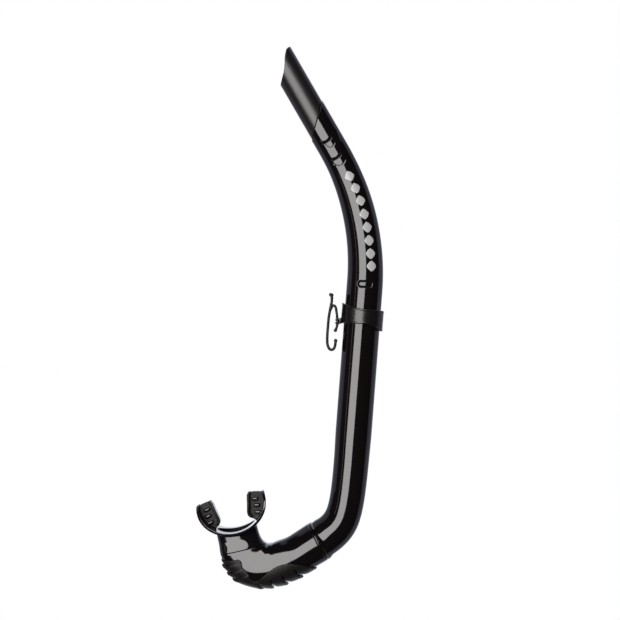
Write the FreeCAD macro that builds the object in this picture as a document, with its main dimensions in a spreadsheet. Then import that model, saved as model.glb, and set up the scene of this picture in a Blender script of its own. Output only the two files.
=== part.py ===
import FreeCAD, Part
import Sketcher
import math
import os

# A diving snorkel: barrel with a slanted tip, turning elbow with a finned guard,
# mouthpiece, and a sliding keeper band with a strap clip. Millimetres.
# +Z runs up the straight run of the barrel, the origin is on the barrel axis at keeper
# height, and the J lies in the XZ plane with the mouthpiece at -X.

doc = FreeCAD.newDocument("snorkel")

# Driving dimensions, written to the spreadsheet under these aliases. X and Z are places,
# tilts are degrees about +Y, and Wide and Deep are half sizes in XZ and along Y.
SIZE = {
    # barrel: straight run, upper bend, collar and the raised pad on its -Y side
    "BarrelRadius": 13.9, "BarrelWall": 2.2, "RunBottom": -90.0, "RunTop": 23.14,
    "BendRadius": 180.0, "BendAngle": 34.33, "CollarRadius": 11.3, "CollarLength": 40.0,
    "StudLength": 12.0, "StudHeight": 6.4, "StudRise": 0.7, "StudX": 0.2, "StudZ": 24.0,
    # tip, and its socket in the collar
    "TopX": -45.44, "TopZ": 145.26,
    "TipRadius": 10.6, "TipBore": 9.1, "TipLength": 62.0, "TipGap": 0.05,
    "PlugRadius": 10.35, "PlugDepth": 18.9, "PlugRise": 14.0,
    "TipSocketRadius": 10.4, "TipSocketDepth": 19.0,
    # joint between barrel and elbow; starts are distances from the joint into the barrel
    "JointX": -20.62, "JointZ": -173.44, "JointTilt": 56.6,
    "BellRadius": 15.9, "BellGap": 1.3, "SocketRadius": 12.05, "SocketDepth": 6.5,
    "SocketFloorBore": 10.6,
    "SpigotRadius": 12.0, "SpigotLength": 7.7, "SpigotBore": 10.0,
    "SealGroove": 11.05, "GrooveStart": 3.0, "GrooveWidth": 1.3, "GrooveOvercut": 0.4,
    "SealCentre": 11.55, "SealSection": 0.48,
    "SnapRadius": 12.35, "SnapStart": 5.7, "SnapWidth": 0.9,
    "SnapGroove": 12.45, "SnapGrooveStart": 5.5, "SnapGrooveWidth": 1.3,
    "RingOuter": 15.85, "RingInner": 12.02, "RingHeight": 1.23, "RingGap": 0.02,
    # elbow guard
    "GuardX": -58.82, "GuardZ": -194.32, "GuardThickness": 1.75, "GuardGap": 0.08,
    # mouthpiece; FlangeSpan is half the arc, NeckFoot and NeckTop are depths below its origin
    "MouthX": -88.76, "MouthZ": -149.26, "MouthTilt": 17.34,
    "FlangeRadius": 27.0, "FlangeThickness": 2.0, "FlangeHeight": 28.0, "FlangeSpan": 99.5,
    "NeckWide": 15.8, "NeckDeep": 10.8, "NeckFoot": 35.3, "NeckTop": 19.0,
    "SleeveLength": 6.3, "SleeveWall": 2.1, "AirWide": 13.2, "AirDeep": 7.8, "AirLength": 16.0,
    "OvalWide": 14.85, "OvalDeep": 9.5, "OvalLength": 6.0, "OvalGap": 0.05, "OvalEndGap": 0.2,
    "TabThickness": 4.0, "TabWallHeight": 11.0,
    "LugHeight": 5.8, "LugHalfLength": 2.4, "LugRadius": 1.25,
    # keeper band and its hinge eye
    "BandBore": 13.95, "BandRadius": 16.2, "BandFoot": -12.0, "BandLength": 23.0,
    "HingeX": -18.6, "HingeZ": -5.6,
    "EyeWidth": 6.0, "EyeBore": 1.15, "EyeRadius": 2.3, "BarRadius": 1.1,
    # keeper clip; ClipThinning scales the thickness of the arch and the short arm
    "ClipWidth": 14.0, "ClipThickness": 1.9, "ClipThinning": 0.84,
    "ForkGap": 6.4, "ForkReach": 3.4,
    # extra length that carries a bore past the end of its part
    "Overcut": 1.0,
}
THROUGH = 90.0  # length of the cuts that run right out of a piece

sheet = doc.addObject("Spreadsheet::Sheet", "Sizes")
for row, (alias, value) in enumerate(SIZE.items(), start=1):
    sheet.set("A%d" % row, alias)
    sheet.set("B%d" % row, "%.10g" % value)
    sheet.setAlias("B%d" % row, alias)
doc.recompute()

JOINT = (SIZE["JointX"], SIZE["JointZ"])
TOP = (SIZE["TopX"], SIZE["TopZ"])
HINGE = (SIZE["HingeX"], SIZE["HingeZ"])


# ---------------------------------------------------------------- sizes and places
def resolve(size):
    """Value and expression of a number, or of a sum of aliases such as 'RunTop - RunBottom'."""
    if not isinstance(size, str):
        return size, None
    total, sign, terms = 0.0, 1, []
    for word in size.split():
        if word in ("+", "-"):
            sign = 1 if word == "+" else -1
            terms.append(word)
        else:
            total += sign * SIZE[word]
            terms.append("Sizes." + word)
    return total, " ".join(terms)


def turned(x, z, tilt=0.0):
    """A placement in the XZ plane, turned about +Y."""
    return FreeCAD.Placement(FreeCAD.Vector(x, 0, z),
                             FreeCAD.Rotation(FreeCAD.Vector(0, 1, 0), tilt))


def into_barrel(distance, x=0.0, z=0.0):
    """x, z and tilt at a distance up the joint axis from (x, z)."""
    tilt = math.radians(SIZE["JointTilt"])
    return (x + distance * math.sin(tilt), z + distance * math.cos(tilt), SIZE["JointTilt"])


def relative(rows, origin):
    """Rows that start with x, z, measured from the origin instead."""
    return [(row[0] - origin[0], row[1] - origin[1]) + tuple(row[2:]) for row in rows]


def rounded(rows, grow=0.0):
    """Loft stations from rows of x, z, tilt, radius."""
    return [(x, z, tilt, radius + grow, radius + grow) for x, z, tilt, radius in rows]


# ---------------------------------------------------------------- sketches
def new_body(label, placement):
    body = doc.addObject("PartDesign::Body", label)
    body.Label = label
    body.Placement = placement
    return body


def sketch_on(body, name, plane="XY_Plane", at=None):
    """A sketch on an origin plane, moved to a placement or to a height given as aliases."""
    support = next(item for item in body.Origin.OriginFeatures if item.Role == plane)
    sketch = body.newObject("Sketcher::SketchObject", name)
    sketch.AttachmentSupport = [(support, "")]
    sketch.MapMode = "FlatFace"
    if isinstance(at, str):
        height, expression = resolve(at)
        sketch.AttachmentOffset = turned(0, height)
        sketch.setExpression("AttachmentOffset.Base.z", expression)
    elif at is not None:
        sketch.AttachmentOffset = at
    return sketch


def flat(point):
    return FreeCAD.Vector(point[0], point[1], 0)


def add_circle(sketch, radius, x=0.0, y=0.0, label="radius"):
    radius, expression = resolve(radius)
    circle = Part.Circle(FreeCAD.Vector(x, y, 0), FreeCAD.Vector(0, 0, 1), radius)
    index = sketch.addGeometry(circle, False)
    if x == 0.0 and y == 0.0:
        sketch.addConstraint(Sketcher.Constraint("Coincident", index, 3, -1, 1))
    constraint = sketch.addConstraint(Sketcher.Constraint("Radius", index, radius))
    if expression:
        sketch.renameConstraint(constraint, label)
        sketch.setExpression("Constraints." + label, expression)


def add_half_ovals(sketch, wide, deep, steps=12):
    """An ellipse as two half curves, so that neighbouring sections match edge for edge."""
    for half in (0, 1):
        angles = [math.pi * (half + i / float(steps)) for i in range(steps + 1)]
        add_curve(sketch, [(wide * math.cos(angle), deep * math.sin(angle)) for angle in angles])


def add_curve(sketch, points, closed=False):
    curve = Part.BSplineCurve()
    curve.interpolate([flat(point) for point in points], PeriodicFlag=closed)
    sketch.addGeometry(curve, False)


def add_lines(sketch, points):
    for start, end in zip(points, points[1:]):
        sketch.addGeometry(Part.LineSegment(flat(start), flat(end)), False)


def add_polygon(sketch, points):
    """A closed outline with its corners joined; it must be the first shape in the sketch."""
    add_lines(sketch, points + points[:1])
    for i in range(len(points)):
        following = (i + 1) % len(points)
        sketch.addConstraint(Sketcher.Constraint("Coincident", i, 2, following, 1))


def add_slot(sketch, centre, direction, half_length, radius):
    """A round-ended slot, long along the direction."""
    run = half_length - radius
    middle = flat(centre)
    heading = flat(direction)
    start = middle - heading * run
    end = middle + heading * run
    off = FreeCAD.Vector(-direction[1], direction[0], 0) * radius
    along = heading * radius
    sketch.addGeometry(Part.LineSegment(start + off, end + off), False)
    sketch.addGeometry(Part.Arc(end + off, end + along, end - off), False)
    sketch.addGeometry(Part.LineSegment(end - off, start - off), False)
    sketch.addGeometry(Part.Arc(start - off, start - along, start + off), False)


def round_sketch(body, name, radius, at=None):
    sketch = sketch_on(body, name, at=at)
    add_circle(sketch, radius)
    return sketch


def ellipse_sketch(body, name, wide, deep, at):
    sketch = sketch_on(body, name, at=at)
    curve = Part.Ellipse(FreeCAD.Vector(wide, 0, 0), FreeCAD.Vector(0, deep, 0),
                         FreeCAD.Vector(0, 0, 0))
    sketch.addGeometry(curve, False)
    return sketch


def side_circle(body, name, radius, x=0.0, z=0.0):
    sketch = sketch_on(body, name, "XZ_Plane")
    add_circle(sketch, radius, x, z)
    return sketch


def side_polygon(body, name, points):
    sketch = sketch_on(body, name, "XZ_Plane")
    add_polygon(sketch, points)
    return sketch


def side_slot(body, name, centre, direction, half_length, radius):
    sketch = sketch_on(body, name, "XZ_Plane")
    add_slot(sketch, centre, direction, half_length, radius)
    return sketch


def side_trim(body, name, edge, limit):
    """The region between a curved edge and a straight line at height limit."""
    sketch = sketch_on(body, name, "XZ_Plane")
    add_curve(sketch, edge)
    first, last = edge[0], edge[-1]
    add_lines(sketch, [last, (last[0], limit), (first[0], limit), first])
    return sketch


# ---------------------------------------------------------------- features
def add_feature(body, kind, name, profile, length_expression=None, **properties):
    """Adds a feature and checks that it leaves one valid solid, and that a cut cuts."""
    cuts = kind in ("Pocket", "SubtractiveLoft")
    before = body.Shape.Volume if cuts else 0.0
    feature = body.newObject("PartDesign::" + kind, name)
    feature.Profile = profile
    for key, value in properties.items():
        setattr(feature, key, value)
    if length_expression:
        feature.setExpression("Length", length_expression)
    doc.recompute()
    shape = feature.Shape
    if "Invalid" in feature.State or "Error" in feature.State or shape.isNull():
        raise RuntimeError("%s is broken %s" % (name, feature.State))
    if not shape.isValid() or len(shape.Solids) != 1:
        raise RuntimeError("%s is not one valid solid" % name)
    if cuts and shape.Volume > before - 0.05:
        raise RuntimeError("%s cut nothing" % name)


def pad(body, sketch, name, length, midplane=False, reverse=False):
    """Grows along the sketch normal, or against it when reversed."""
    length, expression = resolve(length)
    add_feature(body, "Pad", name, sketch, expression,
                Length=length, Midplane=midplane, Reversed=reverse)


def pocket(body, sketch, name, length, midplane=False, reverse=False):
    """Cuts against the sketch normal, or along it when reversed."""
    length, expression = resolve(length)
    add_feature(body, "Pocket", name, sketch, expression,
                Length=length, Midplane=midplane, Reversed=reverse)


def cut_through(body, sketch, name):
    pocket(body, sketch, name, THROUGH, midplane=True)


def loft(body, kind, name, stations, grow=0.0):
    """Lofts ovals through stations of x, z, tilt, half width in XZ, half depth in Y."""
    sketches = []
    for i, (x, z, tilt, wide, deep) in enumerate(stations):
        sketch = sketch_on(body, "%s_s%d" % (name, i), at=turned(x, z, tilt))
        add_half_ovals(sketch, wide + grow, deep + grow)
        sketches.append(sketch)
    doc.recompute()
    add_feature(body, kind, name, sketches[0], Sections=sketches[1:])


# ---------------------------------------------------------------- barrel
# radii at equal steps of angle up the upper bend
UPPER_RADII = [SIZE["BarrelRadius"], 13.62, 13.3, 12.98, 12.68, 12.3, 11.85, 11.45,
               SIZE["CollarRadius"]]
# x, z, tilt, radius down the lower bend, short of the bell's lip
LOWER_BEND = [
    (0.0, SIZE["RunBottom"], 0.0, SIZE["BarrelRadius"]),
    (0.0, -98.103, 0.0, 13.742), (-0.006, -106.205, 0.09, 13.571),
    (-0.110, -114.307, 1.44, 13.482), (-0.280, -122.408, 3.28, 13.433),
    (-0.576, -130.507, 5.66, 13.404), (-1.070, -138.598, 9.47, 13.420),
    (-1.994, -146.641, 15.16, 13.507), (-3.883, -154.530, 21.44, 13.645),
    (-7.720, -161.638, 30.14, 14.159), (-13.429, -167.380, 43.91, 14.623),
]
# rectangle above the collar mouth: distances along the cut and away from it
MOUTH_CUT = [(-24.0, 0.0), (24.0, 0.0), (24.0, 34.0), (-24.0, 34.0)]


def upper_bend_rows():
    rows = []
    for i, radius in enumerate(UPPER_RADII):
        angle = math.radians(SIZE["BendAngle"]) * i / (len(UPPER_RADII) - 1)
        rows.append((-SIZE["BendRadius"] * (1 - math.cos(angle)),
                     SIZE["RunTop"] + SIZE["BendRadius"] * math.sin(angle),
                     -math.degrees(angle), radius))
    return rows


def build_barrel():
    wall = SIZE["BarrelWall"]
    bend = math.radians(SIZE["BendAngle"])
    upper = rounded(upper_bend_rows())
    collar_foot = turned(*upper[-1][:3])
    lip = into_barrel(SIZE["BellGap"], *JOINT)
    floor = into_barrel(SIZE["BellGap"] + SIZE["SocketDepth"], *JOINT)

    barrel = new_body("barrel", turned(0, 0))
    pad(barrel, round_sketch(barrel, "run_outline", "BarrelRadius", "RunBottom"),
        "straight_run", "RunTop - RunBottom")
    loft(barrel, "AdditiveLoft", "upper_bend", upper)
    loft(barrel, "AdditiveLoft", "lower_bend",
         rounded(LOWER_BEND + [lip + (SIZE["BellRadius"],)]))
    pad(barrel, round_sketch(barrel, "collar_outline", "CollarRadius", collar_foot),
        "collar", "CollarLength")

    # raised oval pad on the -Y side, which stops the keeper
    stud = side_slot(barrel, "stud_outline", (SIZE["StudX"], SIZE["StudZ"]), (1.0, 0.0),
                     SIZE["StudLength"] / 2, SIZE["StudHeight"] / 2)
    pad(barrel, stud, "stud", "BarrelRadius + StudRise")

    # the collar mouth is cut at 45 degrees to the tube
    slope = math.radians(SIZE["BendAngle"] + 45)
    corners = [(TOP[0] + along * math.cos(slope) - away * math.sin(slope),
                TOP[1] + along * math.sin(slope) + away * math.cos(slope))
               for along, away in MOUTH_CUT]
    cut_through(barrel, side_polygon(barrel, "collar_mouth", corners), "slanted_collar")

    # airway
    pocket(barrel, round_sketch(barrel, "run_bore_outline", "BarrelRadius - BarrelWall",
                                "RunBottom"),
           "run_bore", "RunTop - RunBottom", reverse=True)
    loft(barrel, "SubtractiveLoft", "upper_bore", upper, -wall)
    loft(barrel, "SubtractiveLoft", "lower_bore",
         rounded(LOWER_BEND[:-1], -wall) + rounded([floor + (SIZE["SocketFloorBore"],)]))
    pocket(barrel, round_sketch(barrel, "collar_bore_outline", "TipBore", collar_foot),
           "collar_bore", THROUGH, reverse=True)

    # sockets for the tip's plug and the elbow's spigot
    depth = SIZE["TipSocketDepth"]
    tip_floor = turned(TOP[0] + depth * math.sin(bend), TOP[1] - depth * math.cos(bend),
                       -SIZE["BendAngle"])
    pocket(barrel, round_sketch(barrel, "tip_socket_outline", "TipSocketRadius", tip_floor),
           "tip_socket", THROUGH, reverse=True)
    pocket(barrel, round_sketch(barrel, "joint_socket_outline", "SocketRadius", turned(*lip)),
           "joint_socket", "SocketDepth", reverse=True)
    groove = turned(*into_barrel(SIZE["SnapGrooveStart"], *JOINT))
    pocket(barrel, round_sketch(barrel, "snap_groove_outline", "SnapGroove", groove),
           "snap_groove", "SnapGrooveWidth", reverse=True)
    return barrel


# ---------------------------------------------------------------- barrel tip
# x, z along the edge of the tip's slanted opening, from the tip's own origin
TIP_OPENING = [(-13.0, 36.0), (-10.3, 38.1), (-7.3, 40.85), (-5.0, 42.9), (-2.7, 45.5),
               (-0.44, 48.6), (1.7, 51.9), (4.15, 54.9), (7.1, 57.7), (9.87, 58.9),
               (13.0, 59.6)]
TIP_OPENING_TOP = 70.0


def build_tip():
    gap = SIZE["TipGap"]
    tip = new_body("barrel_tip", turned(*TOP, -SIZE["BendAngle"]))
    pad(tip, round_sketch(tip, "tip_outline", "TipRadius", "- PlugDepth"),
        "tip_tube", "PlugDepth + TipLength")
    # the shoulder follows the collar mouth, a small gap above it
    shoulder = [(-30.0, -30.0 + gap), (30.0, 30.0 + gap), (60.0, 0.0), (0.0, -60.0)]
    cut_through(tip, side_polygon(tip, "shoulder_cut", shoulder), "slanted_shoulder")
    pad(tip, round_sketch(tip, "plug_outline", "PlugRadius", "- PlugDepth"),
        "plug", "PlugDepth + PlugRise")
    cut_through(tip, side_trim(tip, "opening_outline", TIP_OPENING, TIP_OPENING_TOP),
                "slanted_opening")
    pocket(tip, round_sketch(tip, "tip_bore_outline", "TipBore", "- PlugDepth - Overcut"),
           "tip_bore", THROUGH, reverse=True)
    return tip


# ---------------------------------------------------------------- joint ring and O-ring
def build_ring():
    ring = new_body("joint_ring", turned(*JOINT, SIZE["JointTilt"]))
    sketch = sketch_on(ring, "ring_outline", at="RingGap")
    add_circle(sketch, "RingOuter", label="outer")
    add_circle(sketch, "RingInner", label="inner")
    pad(ring, sketch, "washer", "RingHeight")
    return ring


def build_seal():
    """The O-ring, centred in the width of the spigot's groove."""
    seal = new_body("joint_o_ring", turned(*JOINT, SIZE["JointTilt"]))
    section = side_circle(seal, "seal_section", "SealSection", SIZE["SealCentre"],
                          SIZE["GrooveStart"] + SIZE["GrooveWidth"] / 2)
    add_feature(seal, "Revolution", "seal", section,
                ReferenceAxis=(section, ["V_Axis"]), Angle=360)
    return seal


# ---------------------------------------------------------------- elbow
# x, z, tilt, half width, half depth from the joint to the neck
ELBOW = [
    (*JOINT, SIZE["JointTilt"], 15.75, 15.75), (-24.69, -176.45, 56.91, 15.60, 15.60),
    (-29.57, -180.02, 57.60, 15.45, 15.45), (-36.43, -185.04, 61.80, 15.41, 15.41),
    (-44.13, -189.97, 71.53, 15.50, 15.35), (-51.51, -193.475, 85.04, 15.60, 15.00),
    (-58.815, -195.08, 101.38, 15.79, 14.30), (-65.585, -194.325, 117.25, 16.56, 13.40),
    (-71.295, -191.56, 132.22, 16.96, 12.50), (-75.285, -187.75, 145.90, 16.77, 11.75),
    (-78.182, -183.138, 162.66, 16.54, 11.20),
]
# wall thickness at each elbow station
ELBOW_WALLS = [5.75, 4.2, 2.9, 2.3, 2.2, 2.2, 2.2, 2.2, 2.3, 2.7, 3.2]


def joint_face_sketch(body, name, radius):
    sketch = round_sketch(body, name, radius, turned(*into_barrel(0.0)))
    sketch.setExpression("AttachmentOffset.Rotation.Angle", "Sizes.JointTilt")
    return sketch


def build_elbow():
    elbow = new_body("elbow", turned(*JOINT))
    outside = relative(ELBOW, JOINT)
    inside = [(x, z, tilt, wide - wall, deep - wall)
              for (x, z, tilt, wide, deep), wall in zip(outside, ELBOW_WALLS)]
    neck = turned(*outside[-1][:3])

    loft(elbow, "AdditiveLoft", "bend", outside)
    pad(elbow, joint_face_sketch(elbow, "spigot_outline", "SpigotRadius"),
        "spigot", "SpigotLength")
    groove = sketch_on(elbow, "seal_groove_outline",
                       at=turned(*into_barrel(SIZE["GrooveStart"])))
    add_circle(groove, "SpigotRadius + GrooveOvercut", label="outer")
    add_circle(groove, "SealGroove", label="inner")
    pocket(elbow, groove, "seal_groove", "GrooveWidth", reverse=True)
    bead = turned(*into_barrel(SIZE["SnapStart"]))
    pad(elbow, round_sketch(elbow, "snap_bead_outline", "SnapRadius", bead),
        "snap_bead", "SnapWidth")
    pad(elbow, ellipse_sketch(elbow, "neck_spigot_outline", SIZE["OvalWide"],
                              SIZE["OvalDeep"], neck),
        "neck_spigot", "OvalLength", reverse=True)

    loft(elbow, "SubtractiveLoft", "airway", inside)
    pocket(elbow, joint_face_sketch(elbow, "spigot_bore_outline", "SpigotBore"),
           "spigot_bore", "SpigotLength + Overcut", reverse=True)
    pocket(elbow, ellipse_sketch(elbow, "neck_bore_outline", *inside[-1][3:], neck),
           "neck_bore", "OvalLength + Overcut")
    return elbow


# ---------------------------------------------------------------- elbow guard
# x, z around the guard in side view: its upper edge from -X to +X, then the fins back
# to -X. Each fin end is a saw tooth: the rim drops, then steps out again.
GUARD_EDGE = [
    (-95.6, -190.6), (-84.76, -192.93), (-80.4, -191.9), (-77.6, -193.6), (-76.6, -197.0),
    (-75.32, -198.85), (-71.66, -200.86), (-69.2, -206.0), (-66.0, -207.3), (-63.16, -206.0),
    (-58.64, -201.7), (-53.66, -196.98), (-47.59, -193.62), (-40.92, -192.12),
    (-33.61, -191.9), (-27.25, -191.9), (-18.6, -192.4),
]
GUARD_TEETH = [
    (-19.9, -194.4), (-28.6, -197.0), (-31.4, -202.4), (-38.9, -202.6), (-42.2, -208.4),
    (-50.0, -207.6), (-52.0, -213.5), (-60.6, -216.0), (-76.0, -214.0), (-82.0, -210.2),
    (-82.4, -205.6), (-87.6, -206.0), (-88.0, -200.9), (-91.9, -200.6), (-92.0, -195.8),
]
# x, z of a rectangle clear of the whole guard
GUARD_FRAME = [(-130.0, -240.0), (20.0, -240.0), (20.0, -130.0), (-130.0, -130.0)]


def build_guard():
    origin = (SIZE["GuardX"], SIZE["GuardZ"])
    guard = new_body("elbow_guard", turned(*origin))
    stations = relative(ELBOW, origin)
    loft(guard, "AdditiveLoft", "shell", stations[1:-1], SIZE["GuardThickness"])
    loft(guard, "SubtractiveLoft", "seat", stations, SIZE["GuardGap"])
    # everything between the frame and the outline is cut away
    sketch = side_polygon(guard, "outline_keep", relative(GUARD_FRAME, origin))
    outline = relative(GUARD_EDGE + GUARD_TEETH, origin)
    add_lines(sketch, outline + outline[:1])
    cut_through(guard, sketch, "fin_outline")
    return guard


# ---------------------------------------------------------------- mouthpiece
# All in the mouthpiece's own frame, with the neck running down -Z.
# y, z of the half outline of the flange, from its top to its bottom
FLANGE_HALF = [(0.0, 4.3), (4.0, 3.6), (7.0, 0.6), (9.6, -6.0), (11.8, -14.0), (13.4, -22.0),
               (13.9, -27.6), (9.0, -28.6), (0.0, -28.8)]
FLANGE_MARGIN = 2.0
FLANGE_FRAME_Z = (-30.0, 8.0)
# x, z of the +X bite tab and of the taller wall along its inner side
BITE_TAB = [(24.95, -1.0), (24.8, 2.2), (22.8, 3.9), (18.5, 4.9), (14.6, 5.0), (13.2, 3.4),
            (12.1, -2.6), (10.6, -9.1), (10.7, -11.6), (13.0, -14.4), (16.6, -17.0),
            (17.5, -19.0), (20.5, -16.4), (23.3, -11.9), (25.3, -6.0)]
BITE_WALL = [(14.6, 5.0), (13.2, 3.4), (12.1, -2.6), (10.6, -9.1), (10.7, -11.6),
             (12.4, -13.8), (13.7, -12.6), (12.4, -10.6), (12.3, -8.9), (13.8, -2.8),
             (14.9, 2.9), (16.2, 4.9)]
# x, z of the lug centres on the +X tab, and their long direction
LUGS = [(17.6, -1.4), (18.0, -6.2), (17.8, -11.2)]
LUG_DIRECTION = (0.97, 0.24)
HANDS = ((1.0, "right"), (-1.0, "left"))  # +X and -X


def on_arc(radius, angle):
    """A point at an angle from straight down the neck, towards +X."""
    return FreeCAD.Vector(radius * math.sin(angle), -radius * math.cos(angle), 0)


def add_flange(mouth):
    outer = SIZE["FlangeRadius"]
    inner = outer - SIZE["FlangeThickness"]
    span = math.radians(SIZE["FlangeSpan"])
    sketch = sketch_on(mouth, "flange_section", "XZ_Plane")
    sketch.addGeometry(
        Part.Arc(on_arc(outer, -span), on_arc(outer, 0), on_arc(outer, span)), False)
    add_lines(sketch, [on_arc(outer, span), on_arc(inner, span)])
    sketch.addGeometry(
        Part.Arc(on_arc(inner, span), on_arc(inner, 0), on_arc(inner, -span)), False)
    add_lines(sketch, [on_arc(inner, -span), on_arc(outer, -span)])
    pad(mouth, sketch, "flange", "FlangeHeight", midplane=True)

    # oval outline of the flange in the YZ plane
    sketch = sketch_on(mouth, "flange_outline", "YZ_Plane")
    side = SIZE["FlangeHeight"] / 2 + FLANGE_MARGIN
    low, high = FLANGE_FRAME_Z
    add_lines(sketch, [(-side, low), (side, low), (side, high), (-side, high), (-side, low)])
    other_half = [(-y, z) for y, z in reversed(FLANGE_HALF[1:-1])]
    add_curve(sketch, FLANGE_HALF + other_half, closed=True)
    cut_through(mouth, sketch, "flange_oval")


def add_bite_tabs(mouth):
    for name, outline, height in (("bite_tab", BITE_TAB, "TabThickness"),
                                  ("bite_wall", BITE_WALL, "TabWallHeight")):
        for sign, hand in HANDS:
            feature = "%s_%s" % (name, hand)
            points = [(sign * x, z) for x, z in outline]
            pad(mouth, side_polygon(mouth, feature + "_outline", points),
                feature, height, midplane=True)
    for sign, hand in HANDS:
        for i, (x, z) in enumerate(LUGS):
            feature = "lug_%s_%d" % (hand, i)
            sketch = side_slot(mouth, feature + "_outline", (sign * x, z),
                               (LUG_DIRECTION[0], sign * LUG_DIRECTION[1]),
                               SIZE["LugHalfLength"], SIZE["LugRadius"])
            pad(mouth, sketch, feature, "LugHeight", midplane=True)


def build_mouthpiece():
    mouth = new_body("mouthpiece", turned(SIZE["MouthX"], SIZE["MouthZ"], -SIZE["MouthTilt"]))
    oval_wide, oval_deep = SIZE["OvalWide"], SIZE["OvalDeep"]
    wall, gap = SIZE["SleeveWall"], SIZE["OvalGap"]
    add_flange(mouth)
    pad(mouth, ellipse_sketch(mouth, "neck_outline", SIZE["NeckWide"], SIZE["NeckDeep"],
                              "- NeckFoot"),
        "neck", "NeckFoot - NeckTop")
    pad(mouth, ellipse_sketch(mouth, "sleeve_outline", oval_wide + wall, oval_deep + wall,
                              "- NeckFoot"),
        "sleeve", "SleeveLength")
    # clears the neck from inside the flange
    cut_through(mouth, side_circle(mouth, "lip_space", "FlangeRadius - FlangeThickness"),
                "inner_face")
    add_bite_tabs(mouth)
    pocket(mouth, ellipse_sketch(mouth, "air_outline", SIZE["AirWide"], SIZE["AirDeep"],
                                 "- NeckFoot - Overcut"),
           "air_passage", "AirLength", reverse=True)
    pocket(mouth, ellipse_sketch(mouth, "oval_socket_outline", oval_wide + gap,
                                 oval_deep + gap, "- NeckFoot"),
           "oval_socket", "OvalLength + OvalEndGap", reverse=True)
    return mouth


# ---------------------------------------------------------------- keeper band
# x, z along the band's upper and lower edges, and the heights their trims reach
BAND_TOP = [(-17.5, 10.0), (-15.93, 9.08), (-13.09, 7.77), (-8.43, 6.6), (-3.78, 5.66),
            (0.04, 5.49), (5.38, 5.44), (11.49, 5.29), (17.5, 4.8)]
BAND_BOTTOM = [(-17.5, -6.6), (-14.75, -6.45), (-7.47, -6.05), (-2.9, -6.01), (2.43, -5.91),
               (6.31, -6.76), (10.24, -8.37), (13.44, -10.41), (17.5, -10.7)]
TRIM_TOP = 15.0
TRIM_BOTTOM = -16.0
BAND_BORE_FOOT = -20.0


def build_band():
    x, z = HINGE
    band = new_body("keeper_band", turned(0, 0))
    pad(band, round_sketch(band, "band_outline", "BandRadius", "BandFoot"),
        "sleeve_blank", "BandLength")
    for name, edge, limit in (("top_trim", BAND_TOP, TRIM_TOP),
                              ("foot_trim", BAND_BOTTOM, TRIM_BOTTOM)):
        cut_through(band, side_trim(band, name + "_outline", edge, limit), name)

    # hinge eye on a root that runs into the band
    root = [(x + 0.4, z + 2.2), (-15.0, z + 3.0), (-14.6, z - 0.9), (x + 0.4, z - 2.2)]
    pad(band, side_polygon(band, "eye_root_outline", root), "eye_root", "EyeWidth",
        midplane=True)
    pad(band, side_circle(band, "eye_outline", "EyeRadius", x, z), "eye", "EyeWidth",
        midplane=True)
    cut_through(band, side_circle(band, "eye_bore_outline", "EyeBore", x, z), "eye_bore")
    # the eye is open on its outer side, so the clip's bar snaps in
    opening = [(x, z), (x - 3.2, z + 1.3), (x - 3.2, z - 1.3)]
    cut_through(band, side_polygon(band, "eye_gap_outline", opening), "eye_gap")
    pocket(band, round_sketch(band, "band_bore_outline", "BandBore",
                              turned(0, BAND_BORE_FOOT)),
           "band_bore", THROUGH, reverse=True)
    return band


# ---------------------------------------------------------------- keeper clip
# x, z along the middle of each strip of the clip
LONG_ARM = [(-25.05, 14.3), (-24.15, 9.91), (-24.77, 3.99), (-25.47, -2.85), (-25.6, -10.63),
            (-25.5, -17.94), (-24.9, -23.4), (-23.3, -26.5), (-21.5, -27.2), (-19.9, -26.2),
            (-19.1, -23.7), (-19.0, -20.0)]
ARCH = [(-24.4, 3.6), (-23.4, 5.7), (-21.9, 6.2), (-20.7, 4.6), (-20.0, 1.8), (-19.3, -1.6),
        HINGE]
SHORT_ARM = [HINGE, (-18.6, -7.6), (-19.0, -10.2), (-19.7, -12.2)]
# name, centre and radius of the rounded beads at the strip ends
BEADS = [("top_bead", LONG_ARM[0], 1.35), ("hook_bead", LONG_ARM[-1], 1.2),
         ("foot_bead", (-19.8, -12.4), 1.25)]


def smooth(points, steps=6):
    """A Catmull-Rom curve through the points."""
    curve = []
    last = len(points) - 1
    for i in range(last):
        quad = (points[max(i - 1, 0)], points[i], points[i + 1], points[min(i + 2, last)])
        for j in range(steps):
            part = j / float(steps)
            curve.append(tuple(
                0.5 * (2 * start + (end - before) * part
                       + (2 * before - 5 * start + 4 * end - after) * part * part
                       + (3 * start - before - 3 * end + after) * part ** 3)
                for before, start, end, after in zip(*quad)))
    curve.append(points[-1])
    return curve


def strip(points, thickness):
    """Outline of a strip of even thickness along a path, with square ends."""
    left, right = [], []
    for i, (x, z) in enumerate(points):
        before, after = points[max(i - 1, 0)], points[min(i + 1, len(points) - 1)]
        run, rise = after[0] - before[0], after[1] - before[1]
        scale = thickness / 2 / math.hypot(run, rise)
        left.append((x - rise * scale, z + run * scale))
        right.append((x + rise * scale, z - run * scale))
    return left + right[::-1]


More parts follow.
